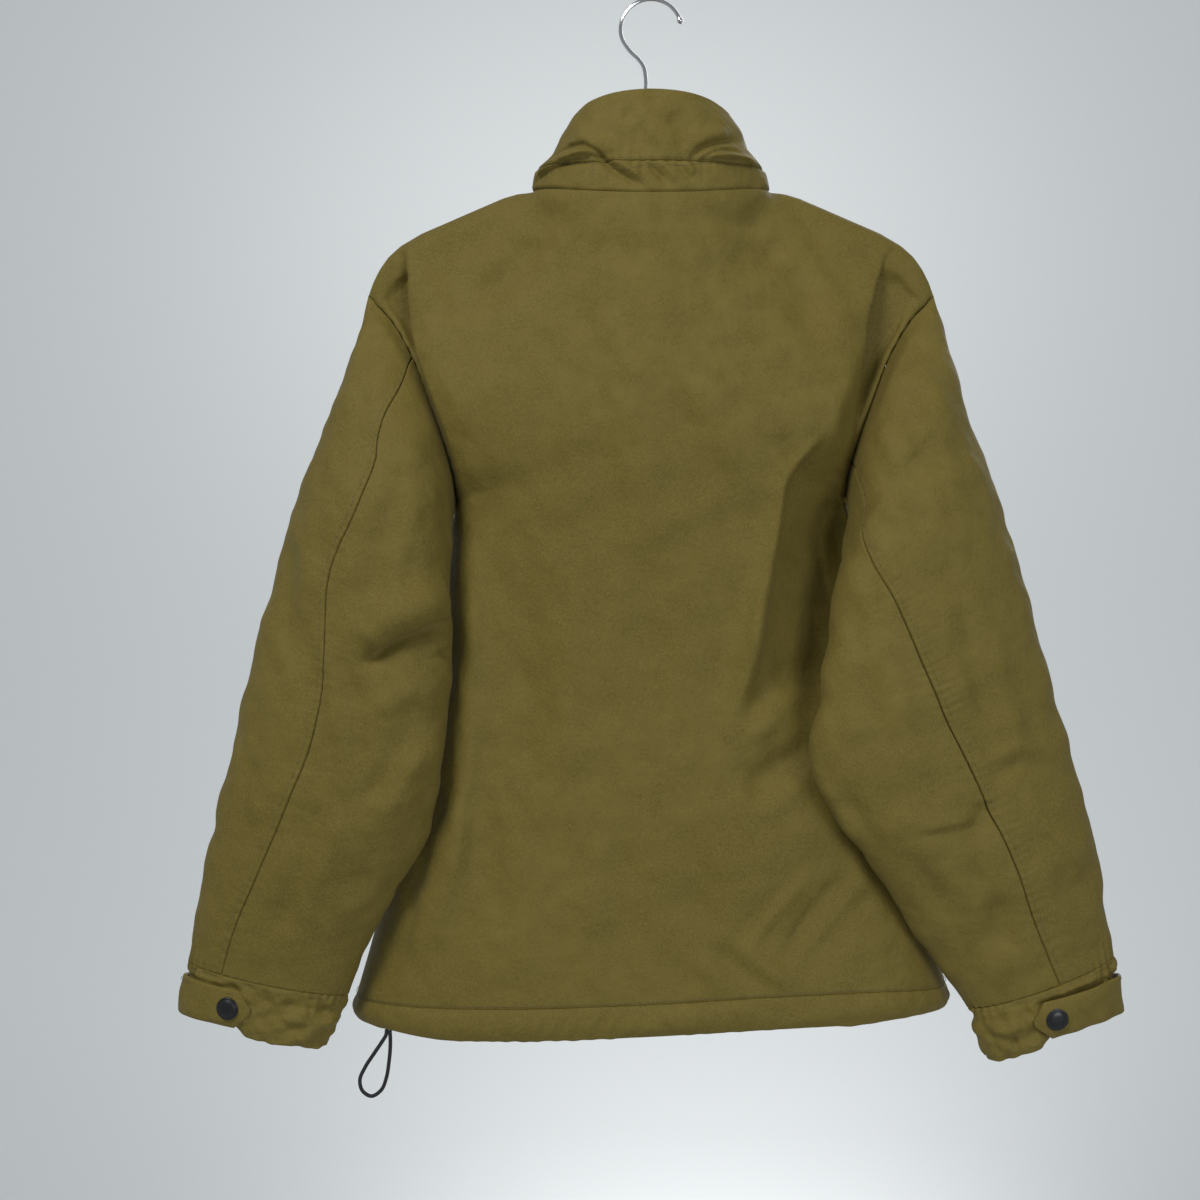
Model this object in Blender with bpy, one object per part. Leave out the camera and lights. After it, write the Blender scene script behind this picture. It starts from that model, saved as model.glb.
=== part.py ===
"""A fleece-lined jacket with a funnel collar, hung on a hanger with a wire hook, at rest.

Metres, +Z up. The origin is the inside top of the hanger's hook, where a rail carries it. The jacket's front
faces -Y and its back +Y; the wearer's left is +X. Every panel is a wall of cloth cut from one worked-out
surface: the body is two half shells from hem to shoulder, each sleeve is a tube of oval sections that starts on
the armhole, and the collar is a leaning ring. "Level" is the share of the way up from the hem seam to the
shoulder line, and "share" the share of the way along a sleeve or up the collar. A sleeve's and the collar's
"turn" is an angle round the section: 0 on the outer (or the wearer's left) side, a quarter turn at the back.
"""

import math

import bpy
import numpy as np
from mathutils import Matrix, Vector

MM = 0.001

# Cloth: shell and fleece together, and the room left at seams and under what is laid on a panel.
CLOTH = 3.0 * MM
COLLAR_CLOTH = 4.5 * MM
TAB_CLOTH = 2.2 * MM
SEAM = 0.3 * MM
LAID_ON = 0.35 * MM

# Body.
HEM_BAND = 25 * MM
HEM_CORNER = 7.5 * MM
HEM_CORNER_STARTS = 150 * MM
HEM_CORNER_ENDS = 240 * MM
UNDERARM_LEVEL = 0.634
SHOULDER_ROUND = 14 * MM
SHOULDER_FALL = 165 * MM
SHOULDER_QUICK = 0.24
SHOULDER_LEAN = 1.14
FOLDS_START = 16 * MM

# Neck.
NECK_HALF_WIDTH = 94 * MM
NECK_BACK_Y = 58 * MM
NECK_FRONT_Y = -70 * MM
NECK_BACK_DROP = 10.5 * MM
NECK_FRONT_DROP = 68 * MM
NECK_FRONT_CURVE = 1.6
COLLAR_TOP_STRAIGHTER = 0.55
COLLAR_TOP_FLATTER = 1.4
STAND_SHARE = 0.30
COLLAR_THICKENS = 30 * MM

# Front zip.
ZIP_HALF_GAP = 4.4 * MM
ZIP_CHAIN_HALF = 3.1 * MM
ZIP_CHAIN_DEPTH = 2.3 * MM
ZIP_CHAIN_SUNK = 0.4 * MM
ZIP_TAPE_HALF = 14 * MM
ZIP_TAPE = 0.9 * MM
ZIP_TAPE_LEANS = 1.0 * MM
ZIP_TOP_SHARE = 0.95
SLIDER_SHARE = 0.80
SLIDER_LENGTH = 15 * MM
SLIDER_WIDTH = 9 * MM
SLIDER_PLATE = 1.8 * MM
BRIDGE_SPAN = 9.5 * MM
BRIDGE_RISE = 4.6 * MM
BRIDGE_WIRE = 1.3 * MM
BRIDGE_WIDTH = 3 * MM
PULL_LENGTH = 31 * MM
PULL_WIDTH = 9 * MM
PULL_DEPTH = 1.6 * MM
PULL_BAR = 1.8 * MM
PULL_EYE = 5.4 * MM

# Sleeves and cuffs.
RING_STEPS = 26
RING_STEP = 360 / RING_STEPS
UPPER_STEPS = 16
ARMHOLE_REACH = 0.24
WRIST_RADIUS = 20 * MM
SEAM_SHARE = 0.5
ARMHOLE_GAP = 0.4 * MM
UNDERARM_LIFT = 0.4 * MM
CUFF = 41 * MM
CUFF_NARROWS = 0.10
CUFF_SWING = 0.21
CUFF_BELLY = 1.5 * MM
TAB_HALF_WIDTH = 14.5 * MM
TAB_TIP_HALF_WIDTH = 4 * MM
TAB_POINT = 11 * MM
SNAP_RADIUS = 8.8 * MM
SNAP_HEIGHT = 3.0 * MM
SNAP_FROM_TIP = 17 * MM

# Hanger.
WIRE_RADIUS = 1.6 * MM
HOOK_RADIUS = 24.4 * MM
HOOK_OPENS = 169
HOOK_TURNS_IN = -20
HOOK_NECK = [(16.2, -40.6), (9.8, -46.8), (5.9, -52.6)]
STEM_X = 4.4 * MM
STEM_TOP_Z = -60 * MM
HANGER_RADIUS = 6.5 * MM
HANGER_REACH = 204 * MM
HANGER_CROWN_Z = -133 * MM
HANGER_UNDER = 11.5 * MM
HANGER_NECK = 88 * MM

# Drawcord.
CORD_RADIUS = 1.5 * MM


def table(columns, rows, unit=MM):
    """Named columns of a short table. The first column is a share; the others are given in the unit."""
    values = np.array(rows, float)
    values[:, 1:] *= unit
    return dict(zip(columns.split(), values.T))


# The hem seam's height: the jacket hangs a little low on the wearer's left.
HEM_SEAM = table(
    "x_mm z",
    [(-240, -785), (-180, -782.5), (-100, -784), (0, -789.5), (100, -793.5), (155, -794.5), (240, -794)],
)
# The side seam, from the hem seam up to the underarm.
SIDE = table(
    "level half_width y",
    [
        (0.000, 236, -18),
        (0.162, 210, -22),
        (0.289, 189, -24),
        (0.384, 179, -24),
        (0.479, 174, -24),
        (0.557, 168, -22),
        (0.600, 162, -16),
        (0.634, 155, -4),
    ],
)
# The armhole, from the underarm up to the end of the shoulder seam.
ARMHOLE = table(
    "level half_width back_y front_y",
    [
        (0.634, 155, -4, -4),
        (0.669, 157, 17, -22),
        (0.721, 165, 35, -37),
        (0.776, 176, 44, -45),
        (0.829, 187, 44, -46),
        (0.893, 203, 36, -38),
        (0.948, 217, 19, -20),
        (1.000, 226, 0, 0),
    ],
)
# How far the middle of the back and of the front stand from the hanger's plane.
DEPTH = table(
    "level back front",
    [
        (0.00, 66, -78),
        (0.20, 62, -79),
        (0.45, 60, -82),
        (0.70, 64, -85),
        (0.85, 65, -80),
        (1.00, 58, -70),
    ],
)
# How square the oval of each level is: 2 is a plain oval, and the sleeves press the back rounder by the underarm.
SQUARE = table(
    "level back front",
    [
        (0.00, 3.1, 3.0),
        (0.25, 2.8, 2.9),
        (0.45, 2.5, 2.8),
        (0.60, 2.2, 2.7),
        (0.74, 2.45, 2.7),
        (0.88, 2.8, 2.8),
        (1.00, 3.0, 3.0),
    ],
    1,
)
# The shoulder line, from the side of the neck out to the armhole: x and z.
SHOULDER = (
    np.array(
        [
            (94, -153.5),
            (106, -154.5),
            (118, -158),
            (139, -167),
            (162, -177),
            (183, -186),
            (200, -196),
            (210, -205),
            (217, -215),
            (222, -225),
            (226, -236),
        ]
    )
    * MM
)

SLEEVE_COLUMNS = "share outer_x outer_y outer_z inner_x inner_y inner_z half_depth"
SLEEVES = {
    1: table(
        SLEEVE_COLUMNS,
        [
            (0.00, 226, 0, -236, 155, -4, -401, 44),
            (0.10, 237, 8, -283, 157, 30, -425, 46),
            (0.20, 251, 14, -325, 158, 42, -448, 47),
            (0.32, 271, 20, -378, 157, 48, -478, 46),
            (0.44, 290, 24, -437, 156, 51, -512, 44),
            (0.56, 307, 27, -503, 158, 53, -556, 43),
            (0.67, 322, 29, -566, 163, 53, -604, 41),
            (0.78, 336, 30, -625, 172, 51, -654, 39),
            (0.88, 349, 30, -683, 198, 47, -704, 35),
            (0.95, 358, 30, -725, 222, 41, -747, 30),
            (1.00, 363, 30, -762, 238, 36, -787, 25),
        ],
    ),
    -1: table(
        SLEEVE_COLUMNS,
        [
            (0.00, 226, 0, -236, 155, -4, -401, 44),
            (0.10, 234, 8, -283, 154, 32, -420, 45),
            (0.20, 246, 14, -325, 148, 47, -444, 45),
            (0.32, 265, 20, -378, 141, 58, -470, 42),
            (0.44, 283, 24, -437, 135, 66, -506, 38),
            (0.56, 302, 27, -503, 127, 72, -556, 35),
            (0.67, 319, 29, -566, 120, 75, -603, 33),
            (0.76, 333, 30, -615, 137, 71, -642, 33),
            (0.86, 347, 30, -672, 173, 60, -692, 33),
            (0.94, 356, 30, -722, 208, 48, -744, 29),
            (1.00, 361, 30, -757, 247, 37, -797, 25),
        ],
    ),
}
# The turn, in degrees, at which the back seam of each two-piece sleeve lies.
SEAM_START = {1: 6 * RING_STEP, -1: 10 * RING_STEP}
SLEEVE_SEAMS = {
    1: table(
        "share turn",
        [
            (0.00, SEAM_START[1]),
            (0.30, 82),
            (0.44, 74),
            (0.56, 80),
            (0.67, 82),
            (0.78, 75),
            (0.90, 68),
            (1.00, 59),
        ],
        1,
    ),
    -1: table(
        "share turn",
        [
            (0.00, SEAM_START[-1]),
            (0.20, 143),
            (0.32, 133),
            (0.44, 116),
            (0.56, 101),
            (0.67, 89),
            (0.80, 84),
            (1.00, 82),
        ],
        1,
    ),
}
# The collar, from the neck seam up: its side outline, how far its back and front stand, and its heights there.
COLLAR = table(
    "share half_width back_y front_y back_z side_z front_z",
    [
        (0.00, 94.0, 58.0, -70, -164.0, -153.5, -221.5),
        (0.12, 92.5, 57.5, -72, -154.5, -146.5, -212.0),
        (0.30, 89.0, 56.5, -76, -139.5, -137.0, -198.0),
        (0.45, 84.5, 55.5, -80, -127.0, -130.5, -186.0),
        (0.60, 79.5, 54.0, -84, -114.5, -123.5, -174.0),
        (0.80, 72.0, 50.5, -89, -97.5, -112.0, -157.0),
        (0.92, 66.0, 47.5, -91, -87.0, -105.0, -147.0),
        (1.00, 62.0, 45.0, -92, -81.5, -100.0, -141.0),
    ],
)

# The largest folds. Each is (height, reach, line of x and z): raised if above zero, and reach is half its width.
BACK_FOLDS = [
    # Beside the wearer's left sleeve the back ends in a ridge and turns in; above it a valley runs to the armhole.
    (12, 14, [(152, -385), (143, -448), (143, -510), (146, -602), (157, -687), (175, -748), (190, -775)]),
    (-9, 14, [(212, -225), (199, -252), (187, -290)]),
    # The right sleeve drags a deep hollow down across the back, with a ridge along its inner side.
    (-13, 15, [(-210, -222), (-190, -255), (-177, -300), (-166, -360)]),
    (-25, 26, [(-160, -375), (-150, -420), (-142, -470), (-134, -530), (-122, -590)]),
    (7, 15, [(-134, -350), (-106, -392), (-99, -440), (-86, -495), (-70, -560)]),
    (-7, 15, [(-169, -695), (-144, -719), (-119, -748), (-101, -778)]),
    (-5, 15, [(-132, -683), (-88, -727), (-66, -768)]),
    (-6, 17, [(-119, -600), (-96, -614), (-70, -632)]),
]
FRONT_FOLDS = [
    (-9, 16, [(203, -240), (186, -285), (176, -340), (168, -400)]),
    (-11, 16, [(-204, -236), (-188, -280), (-178, -340), (-168, -400)]),
    (-9, 22, [(150, -420), (128, -500), (112, -600)]),
    (-7, 20, [(-148, -430), (-120, -520), (-108, -630)]),
    (5, 20, [(176, -560), (150, -650), (142, -750)]),
]
SLEEVE_FOLDS = {
    1: [
        (-9, 12, [(152, -499), (172, -499), (190, -508), (208, -520), (224, -535)]),
        (5, 12, [(156, -478), (178, -478), (198, -487), (214, -500)]),
        (-5, 14, [(283, -446), (281, -485), (264, -540), (257, -575)]),
        (5, 14, [(168, -585), (186, -622), (214, -655)]),
        (-5, 14, [(196, -684), (226, -700), (248, -704)]),
    ],
    -1: [
        (-5, 14, [(-222, -655), (-246, -652), (-252, -628)]),
        (5, 14, [(-170, -646), (-196, -668), (-222, -676)]),
        (-5, 13, [(-262, -702), (-263, -752)]),
        (4, 14, [(-303, -660), (-336, -692)]),
    ],
}
# The drawcord's loop, from where it leaves the casing to where it goes back in: x, how far out, and z.
CORD_ROUTE = [
    (208.5, 0.0, 0.0),
    (208.8, 0.4, -4.0),
    (210.5, 2.6, -9.0),
    (217.0, 3.2, -20.0),
    (225.0, 1.8, -32.0),
    (229.5, 0.6, -42.0),
    (228.0, 0.0, -50.0),
    (221.0, -0.4, -54.0),
    (214.0, -0.6, -49.0),
    (209.5, -1.0, -38.0),
    (207.5, -1.2, -26.0),
    (206.3, -1.2, -14.0),
    (205.2, -0.6, -6.0),
    (204.6, 0.0, 0.0),
]
CORD_POINTS = 26


def eased(at, knots, values):
    """A smooth line through a table's rows: cubic pieces whose slopes come from each row's neighbours."""
    at = np.clip(np.asarray(at, float), knots[0], knots[-1])
    slopes = np.gradient(values, knots)
    low = np.clip(np.searchsorted(knots, at, side="right") - 1, 0, len(knots) - 2)
    step = knots[low + 1] - knots[low]
    t = (at - knots[low]) / step
    return (
        (2 * t**3 - 3 * t**2 + 1) * values[low]
        + (t**3 - 2 * t**2 + t) * step * slopes[low]
        + (3 * t**2 - 2 * t**3) * values[low + 1]
        + (t**3 - t**2) * step * slopes[low + 1]
    )


def read(rows, column, at):
    """One column of a table at given places along its first column."""
    first = next(iter(rows))
    return eased(at, rows[first], rows[column])


def smooth(t):
    """0 to 1 with level ends."""
    t = np.clip(t, 0, 1)
    return t * t * (3 - 2 * t)


def unit(vectors):
    """Vectors of length 1 along the last axis."""
    vectors = np.asarray(vectors, float)
    return vectors / np.maximum(np.linalg.norm(vectors, axis=-1, keepdims=True), 1e-12)


def fold_heights(folds, x, z):
    """The sum of the folds at each place: a bell across each line, fading out over its ends."""
    total = np.zeros(np.broadcast(x, z).shape)
    for height, reach, line in folds:
        points = np.array(line, float) * MM
        steps = np.diff(points, axis=0)
        lengths = np.linalg.norm(steps, axis=1)
        starts = np.concatenate([[0], np.cumsum(lengths)])
        nearest = np.full(total.shape, 1e9)
        along = np.zeros(total.shape)
        for start, step, length, before in zip(points, steps, lengths, starts):
            t = np.clip(((x - start[0]) * step[0] + (z - start[1]) * step[1]) / length**2, 0, 1)
            away = np.hypot(x - start[0] - t * step[0], z - start[1] - t * step[1])
            closer = away < nearest
            nearest = np.where(closer, away, nearest)
            along = np.where(closer, before + t * length, along)
        fade = smooth(np.minimum(along, starts[-1] - along) / (0.28 * starts[-1]))
        total += height * MM * np.exp(-((nearest / (reach * MM)) ** 2)) * (0.15 + 0.85 * fade)
    return total


def hem_z(x):
    """Height of the hem seam."""
    return read(HEM_SEAM, "z", np.asarray(x) / MM)


def casing_drop(x, share):
    """How far below the hem seam the casing is, a share of the way down it: less towards its two sides."""
    corner = (np.abs(x) - HEM_CORNER_STARTS) / (HEM_CORNER_ENDS - HEM_CORNER_STARTS)
    return share * (HEM_BAND - HEM_CORNER * smooth(corner))


def neck_bow(x):
    """0 at the side of the neck and 1 at its middle, along a half ellipse."""
    return np.sqrt(np.clip(1 - (np.abs(x) / NECK_HALF_WIDTH) ** 2, 0, 1))


def top_z(x, back):
    """Height of the top edge of the body: shoulder line, and neckline inside it."""
    bow = neck_bow(x)
    drop = NECK_BACK_DROP * bow**2 if back else NECK_FRONT_DROP * bow**NECK_FRONT_CURVE
    return np.interp(np.abs(x), *SHOULDER.T) - drop


def top_y(x, back):
    """How far the top edge stands from the hanger's plane: nothing on the shoulder, the neck's bow inside it."""
    return neck_bow(x) * (NECK_BACK_Y if back else NECK_FRONT_Y)


def edge_half_width(level):
    """Half the width of the body at a level: to the side seam, or above the underarm to the armhole."""
    low = read(SIDE, "half_width", np.minimum(level, UNDERARM_LEVEL))
    high = read(ARMHOLE, "half_width", np.maximum(level, UNDERARM_LEVEL))
    return np.where(level < UNDERARM_LEVEL, low, high)


def edge_y(level, back):
    """Where the side seam and the armhole lie between front and back."""
    low = read(SIDE, "y", np.minimum(level, UNDERARM_LEVEL))
    high = read(ARMHOLE, "back_y" if back else "front_y", np.maximum(level, UNDERARM_LEVEL))
    return np.where(level < UNDERARM_LEVEL, low, high)


def body(across, level, back):
    """A point of the body's outer surface. Across runs from -1 at the right edge to 1 at the left one.

    Each level is half of a squared-off oval from edge to edge. Near the top its depth shrinks to the shoulder
    line, quickly over the hanger's round and then slowly, and the folds move it in and out.
    """
    across, level = np.broadcast_arrays(np.asarray(across, float), np.asarray(level, float))
    turn = across * math.pi / 2
    power = 2 / read(SQUARE, "back" if back else "front", level)
    reach = np.sign(turn) * np.abs(np.sin(turn)) ** power
    bulge = np.clip(np.cos(turn), 0, 1) ** power
    x = edge_half_width(level) * reach
    z = hem_z(x) + (top_z(x, back) - hem_z(x)) * level
    edge = edge_y(level, back)
    section = edge + (read(DEPTH, "back" if back else "front", level) - edge) * bulge
    below = top_z(x, back) - z
    quick = np.sqrt(1 - (1 - np.clip(below / SHOULDER_ROUND, 0, 1)) ** 2)
    slow = np.minimum(2 * smooth(below / (2 * SHOULDER_FALL)), 1)
    rise = SHOULDER_QUICK * quick + (1 - SHOULDER_QUICK) * slow
    y = top_y(x, back) + (section - top_y(x, back)) * rise
    from_edge = edge_half_width(level) * (1 - np.abs(reach))
    held = smooth(from_edge / FOLDS_START) * smooth(below / FOLDS_START) * smooth(level / 0.03)
    folds = fold_heights(BACK_FOLDS if back else FRONT_FOLDS, x, z) * held
    return np.stack([x, y + (folds if back else -folds), z], axis=-1)


def place_at(x, level, back=False):
    """The place across the body at which a level has a given x."""
    reach = np.clip(x / edge_half_width(level), 0, 1)
    return np.arcsin(reach ** (read(SQUARE, "back" if back else "front", level) / 2)) * 2 / math.pi


def armhole_level(turn):
    """The body's level at a turn round the armhole: 1 at the shoulder, the underarm's half a turn on."""
    return UNDERARM_LEVEL + (1 - UNDERARM_LEVEL) * (1 + np.cos(turn)) / 2


def armhole(turn, side):
    """The armhole's loop. Its back half has turns from 0 to pi, its front half from 0 to -pi."""
    level = armhole_level(turn)
    ends = np.ones_like(level) * side
    behind = (np.sin(turn) >= 0)[..., None]
    return np.where(behind, body(ends, level, True), body(ends, level, False))


def armhole_frame(side):
    """The middle of the armhole, the way up its plane, and the way out of the body, square to the plane."""
    top, bottom = armhole(np.array(0.0), side), armhole(np.array(math.pi), side)
    upward = unit(top - bottom)
    outward = np.cross(upward, [0, 1, 0])
    return (top + bottom) / 2, upward, outward * np.sign(outward[0] * side)


def armhole_out(turn, side):
    """The way out of the cloth on the armhole's loop: from its middle, and over the shoulder also sideways."""
    middle, upward, outward = armhole_frame(side)
    spoke = armhole(turn, side) - middle
    rise = (spoke @ upward)[..., None] * upward / (180 * MM)
    wide = spoke[..., 1:2] * np.array([0, 1, 0]) / (90 * MM)
    over = np.clip(np.cos(turn), 0, 1)[..., None] ** 2 * outward * SHOULDER_LEAN
    return unit(unit(rise + wide) + over)


def oval(side, share, turn):
    """A sleeve's section: an oval between its outer and inner edge lines, half_depth thick each way."""
    rows = SLEEVES[side]

    def edge_line(edge, at):
        places = [side * read(rows, edge + "_x", at), read(rows, edge + "_y", at), read(rows, edge + "_z", at)]
        return np.stack(places, -1)

    outer, inner = edge_line("outer", share), edge_line("inner", share)
    half = (outer - inner) / 2
    step = 0.01
    ahead = edge_line("outer", share + step) + edge_line("inner", share + step)
    behind = edge_line("outer", share - step) + edge_line("inner", share - step)
    depth_way = unit(np.cross(half, ahead - behind))
    depth_way = depth_way * np.sign(depth_way[..., 1:2]) * read(rows, "half_depth", share)[..., None]
    return (outer + inner) / 2 + np.cos(turn)[..., None] * half + np.sin(turn)[..., None] * depth_way


def sleeve_middle(side, share):
    """The middle line of a sleeve."""
    share = np.asarray(share, float)
    opposite = oval(side, share, np.zeros_like(share)) + oval(side, share, np.full_like(share, math.pi))
    return opposite / 2


def sleeve(side, share, turn):
    """A point of a sleeve's outer surface. It starts on the armhole's own loop and eases into the ovals."""
    share, turn = np.broadcast_arrays(np.asarray(share, float), np.asarray(turn, float))
    points = oval(side, share, turn)
    start = oval(side, np.zeros_like(share), turn)
    points = points + (armhole(turn, side) - start) * (1 - smooth(share / ARMHOLE_REACH))[..., None]
    facing = smooth(np.sin(turn) * 2.2 + 0.25) * smooth(share / 0.15) * smooth((1 - share) / 0.05)
    height = fold_heights(SLEEVE_FOLDS[side], points[..., 0], points[..., 2]) * facing
    return points + height[..., None] * unit(points - sleeve_middle(side, share))


def seam_turn(side, share):
    """The turn at which the back seam of a sleeve lies."""
    return np.radians(read(SLEEVE_SEAMS[side], "turn", share))


def cuff(side, drop, turn):
    """A point of a cuff: the sleeve's last section, carried down with the arm and drawn in a little."""
    drop, turn = np.broadcast_arrays(np.asarray(drop, float), np.asarray(turn, float))
    end = sleeve(side, np.ones_like(drop), turn)
    middle = sleeve_middle(side, 1.0)
    spoke = end - middle
    along = drop / CUFF
    narrow = spoke * (1 - CUFF_NARROWS * along)[..., None]
    belly = (CUFF_BELLY * np.sin(math.pi * np.clip(along, 0, 1)))[..., None] * unit(spoke)
    return middle + narrow + belly + drop[..., None] * cuff_axis(side)


def cuff_axis(side):
    """The way a cuff hangs."""
    return unit([side * CUFF_SWING, 0, -1])


def collar(turn, share):
    """A point of the collar's outer surface, on a ring that is wider than deep and lower at the front."""
    turn, share = np.broadcast_arrays(np.asarray(turn, float), np.asarray(share, float))
    back = np.sin(turn) >= 0
    bow = np.abs(np.sin(turn))
    x = read(COLLAR, "half_width", share) * np.cos(turn)
    y = np.where(back, read(COLLAR, "back_y", share), read(COLLAR, "front_y", share)) * bow
    side_z = read(COLLAR, "side_z", share)
    arch_back = bow**2 + share * COLLAR_TOP_FLATTER * (bow - bow**2)
    drop_back = (read(COLLAR, "back_z", share) - side_z) * arch_back
    curve_front = NECK_FRONT_CURVE - share * COLLAR_TOP_STRAIGHTER
    drop_front = (read(COLLAR, "front_z", share) - side_z) * bow**curve_front
    return np.stack([x, y, side_z + np.where(back, drop_back, drop_front)], axis=-1)


def normals(surface, u, v, low, high, step=0.004):
    """Square to a surface at each place, from points a small step away either side, kept within its ends."""
    u, v = np.broadcast_arrays(u, v)
    along_u = surface(np.minimum(u + step, high[0]), v) - surface(np.maximum(u - step, low[0]), v)
    along_v = surface(u, np.minimum(v + step, high[1])) - surface(u, np.maximum(v - step, low[1]))
    return unit(np.cross(along_u, along_v))


FINISHES = {
    "shell": ((0.155, 0.125, 0.042), 0.7, 0.0),
    "black_plastic": ((0.012, 0.012, 0.013), 0.45, 0.0),
    "chrome": ((0.75, 0.75, 0.76), 0.12, 1.0),
    "cord": ((0.01, 0.01, 0.012), 0.7, 0.0),
    "hanger": ((0.05, 0.05, 0.052), 0.5, 0.0),
    "zip_tape": ((0.10, 0.085, 0.035), 0.8, 0.0),
    "zip_metal": ((0.30, 0.25, 0.16), 0.35, 1.0),
}


def finish_of(name):
    """A material of the scene, made on its first use."""
    made = bpy.data.materials.get(name)
    if made is None:
        colour, roughness, metallic = FINISHES[name]
        made = bpy.data.materials.new(name)
        made.use_nodes = True
        shader = made.node_tree.nodes["Principled BSDF"]
        shader.inputs["Base Color"].default_value = (*colour, 1)
        shader.inputs["Roughness"].default_value = roughness
        shader.inputs["Metallic"].default_value = metallic
    return made


def add_object(name, data, finish):
    """An object of the scene with its finish."""
    data.materials.append(finish_of(finish))
    made = bpy.data.objects.new(name, data)
    bpy.context.collection.objects.link(made)
    return made


def solid(name, vertices, faces, finish):
    """A mesh object from points and faces, turned so that its faces point outwards."""
    mesh = bpy.data.meshes.new(name)
    mesh.from_pydata([tuple(v) for v in vertices], [], [tuple(f) for f in faces])
    mesh.calc_loop_triangles()
    points = np.array([v.co for v in mesh.vertices])
    corners = points[np.array([t.vertices for t in mesh.loop_triangles])]
    if np.linalg.det(corners).sum() < 0:
        mesh.flip_normals()
    made = add_object(name, mesh, finish)
    mesh.shade_smooth()
    mesh.set_sharp_from_angle(angle=math.radians(50))
    return made


def wall(name, outer, inward, finish="shell", closed=False):
    """A wall of cloth: the outer grid of points, the same grid moved inward, and the rim that joins them."""
    rows, columns = outer.shape[:2]
    count = rows * columns
    vertices = np.concatenate([outer.reshape(-1, 3), (outer + inward).reshape(-1, 3)])
    index = np.arange(count).reshape(rows, columns)
    if closed:
        index = np.concatenate([index, index[:, :1]], axis=1)
        rims = [index[0], index[-1][::-1]]
    else:
        rims = [np.concatenate([index[0], index[1:, -1], index[-1, -2::-1], index[-2::-1, 0]])]
    quads = np.stack([index[:-1, :-1], index[:-1, 1:], index[1:, 1:], index[1:, :-1]], -1).reshape(-1, 4)
    faces = [quads, quads[:, ::-1] + count]
    for rim in rims:
        faces.append(np.stack([rim[1:], rim[:-1], rim[:-1] + count, rim[1:] + count], -1))
    return solid(name, vertices, np.concatenate(faces), finish)


def body_levels():
    """The rows of the body: even up to the underarm, and then those of the armhole's ring."""
    ring = armhole_level(np.radians(np.arange(RING_STEPS // 2, -1, -1) * RING_STEP))
    return np.concatenate([np.linspace(0, UNDERARM_LEVEL, 13)[:-1], ring])


NECK_STEPS = 12
EDGE_STEPS = 9


def edge_places():
    """Places across from the side of the neck out to the edge."""
    neck = float(place_at(NECK_HALF_WIDTH, 1.0))
    return np.linspace(neck, 1, EDGE_STEPS + 1)


def back_places():
    """Places across the back: even turns round the neck, then even steps to both edges."""
    turns = np.linspace(math.pi, 0, NECK_STEPS + 1)
    x = NECK_HALF_WIDTH * np.cos(turns)
    neck = place_at(np.abs(x), 1.0, True) * np.sign(x)
    return np.concatenate([-edge_places()[::-1], neck[1:-1], edge_places()])


def front_turns():
    """Turns round the neck from the zip's edge to the side of the neck."""
    return np.linspace(math.acos(ZIP_HALF_GAP / NECK_HALF_WIDTH), 0, NECK_STEPS // 2 + 1)


def front_places(level):
    """Places across a front at a level: from the zip's edge, which is straight, out to the side."""
    top_neck = place_at(NECK_HALF_WIDTH * np.cos(front_turns()), 1.0)
    top = np.concatenate([top_neck[:-1], edge_places()])
    spread = (top - top[0]) / (1 - top[0])
    start = place_at(ZIP_HALF_GAP, level)
    return start + (1 - start) * spread


def neck_out(turn):
    """The way out of the body and the collar along the neck seam."""
    return unit(np.stack([np.cos(turn), np.sin(turn), 0.7 * np.abs(np.cos(turn))], -1))


def body_inward(across, levels, back, edges):
    """Each body point's step to the wall's inner face, shared at seams with the piece on the other side."""
    outward = 1 if back else -1
    way = normals(lambda u, v: body(u, v, back), across, levels[:, None], (-1, 0), (1, 1))
    way = way * np.sign(way[..., 1:2] * outward)
    way[0] = hem_ways(across[0], back)
    x = body(across[-1], 1.0, back)[:, 0]
    lean = np.sign(x) * (np.interp(np.abs(x) - MM, *SHOULDER.T) - np.interp(np.abs(x) + MM, *SHOULDER.T))
    shoulder = unit(np.stack([lean, np.zeros_like(x), np.full_like(x, 2 * MM)], -1))
    neck = neck_out(np.arccos(np.clip(x / NECK_HALF_WIDTH, -1, 1)) * outward)
    on_neck = np.abs(x) < NECK_HALF_WIDTH + 1e-5
    way[-1] = np.where(on_neck[:, None], neck, shoulder)
    turn = np.arccos(np.clip((levels - UNDERARM_LEVEL) / (1 - UNDERARM_LEVEL) * 2 - 1, -1, 1)) * outward
    for column, side in edges:
        on_side = (levels < UNDERARM_LEVEL - 1e-9)[:, None]
        way[:, column] = np.where(on_side, [side, 0.0, 0.0], armhole_out(turn, side))
    return way * -CLOTH


def hem_ways(places, back):
    """The ways out of the hem at places across, level with the floor and square to the hem's own line."""
    step = 0.004
    ahead, behind = np.minimum(places + step, 1), np.maximum(places - step, -1)
    line = body(ahead, 0.0, back) - body(behind, 0.0, back)
    out = np.stack([line[:, 1], -line[:, 0], np.zeros(len(line))], -1)
    out = out * np.sign(out[:, 1:2]) * (1 if back else -1)
    out[np.abs(places) > 1 - 1e-9] = [1, 0, 0]
    out[places < -1 + 1e-9] = [-1, 0, 0]
    return unit(out)


def part_seams(points, back, edges):
    """Moves the body's edges half a seam away from the neighbouring pieces."""
    outward = 1 if back else -1
    on_neck = np.abs(points[-1, :, 0]) < NECK_HALF_WIDTH + 1e-5
    for column, _ in edges:
        points[:, column, 1] += outward * SEAM / 2
    points[-1, ~on_neck, 1] += outward * SEAM / 2
    points[-1, on_neck, 2] -= SEAM / 2
    points[0, :, 2] += SEAM / 2


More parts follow.
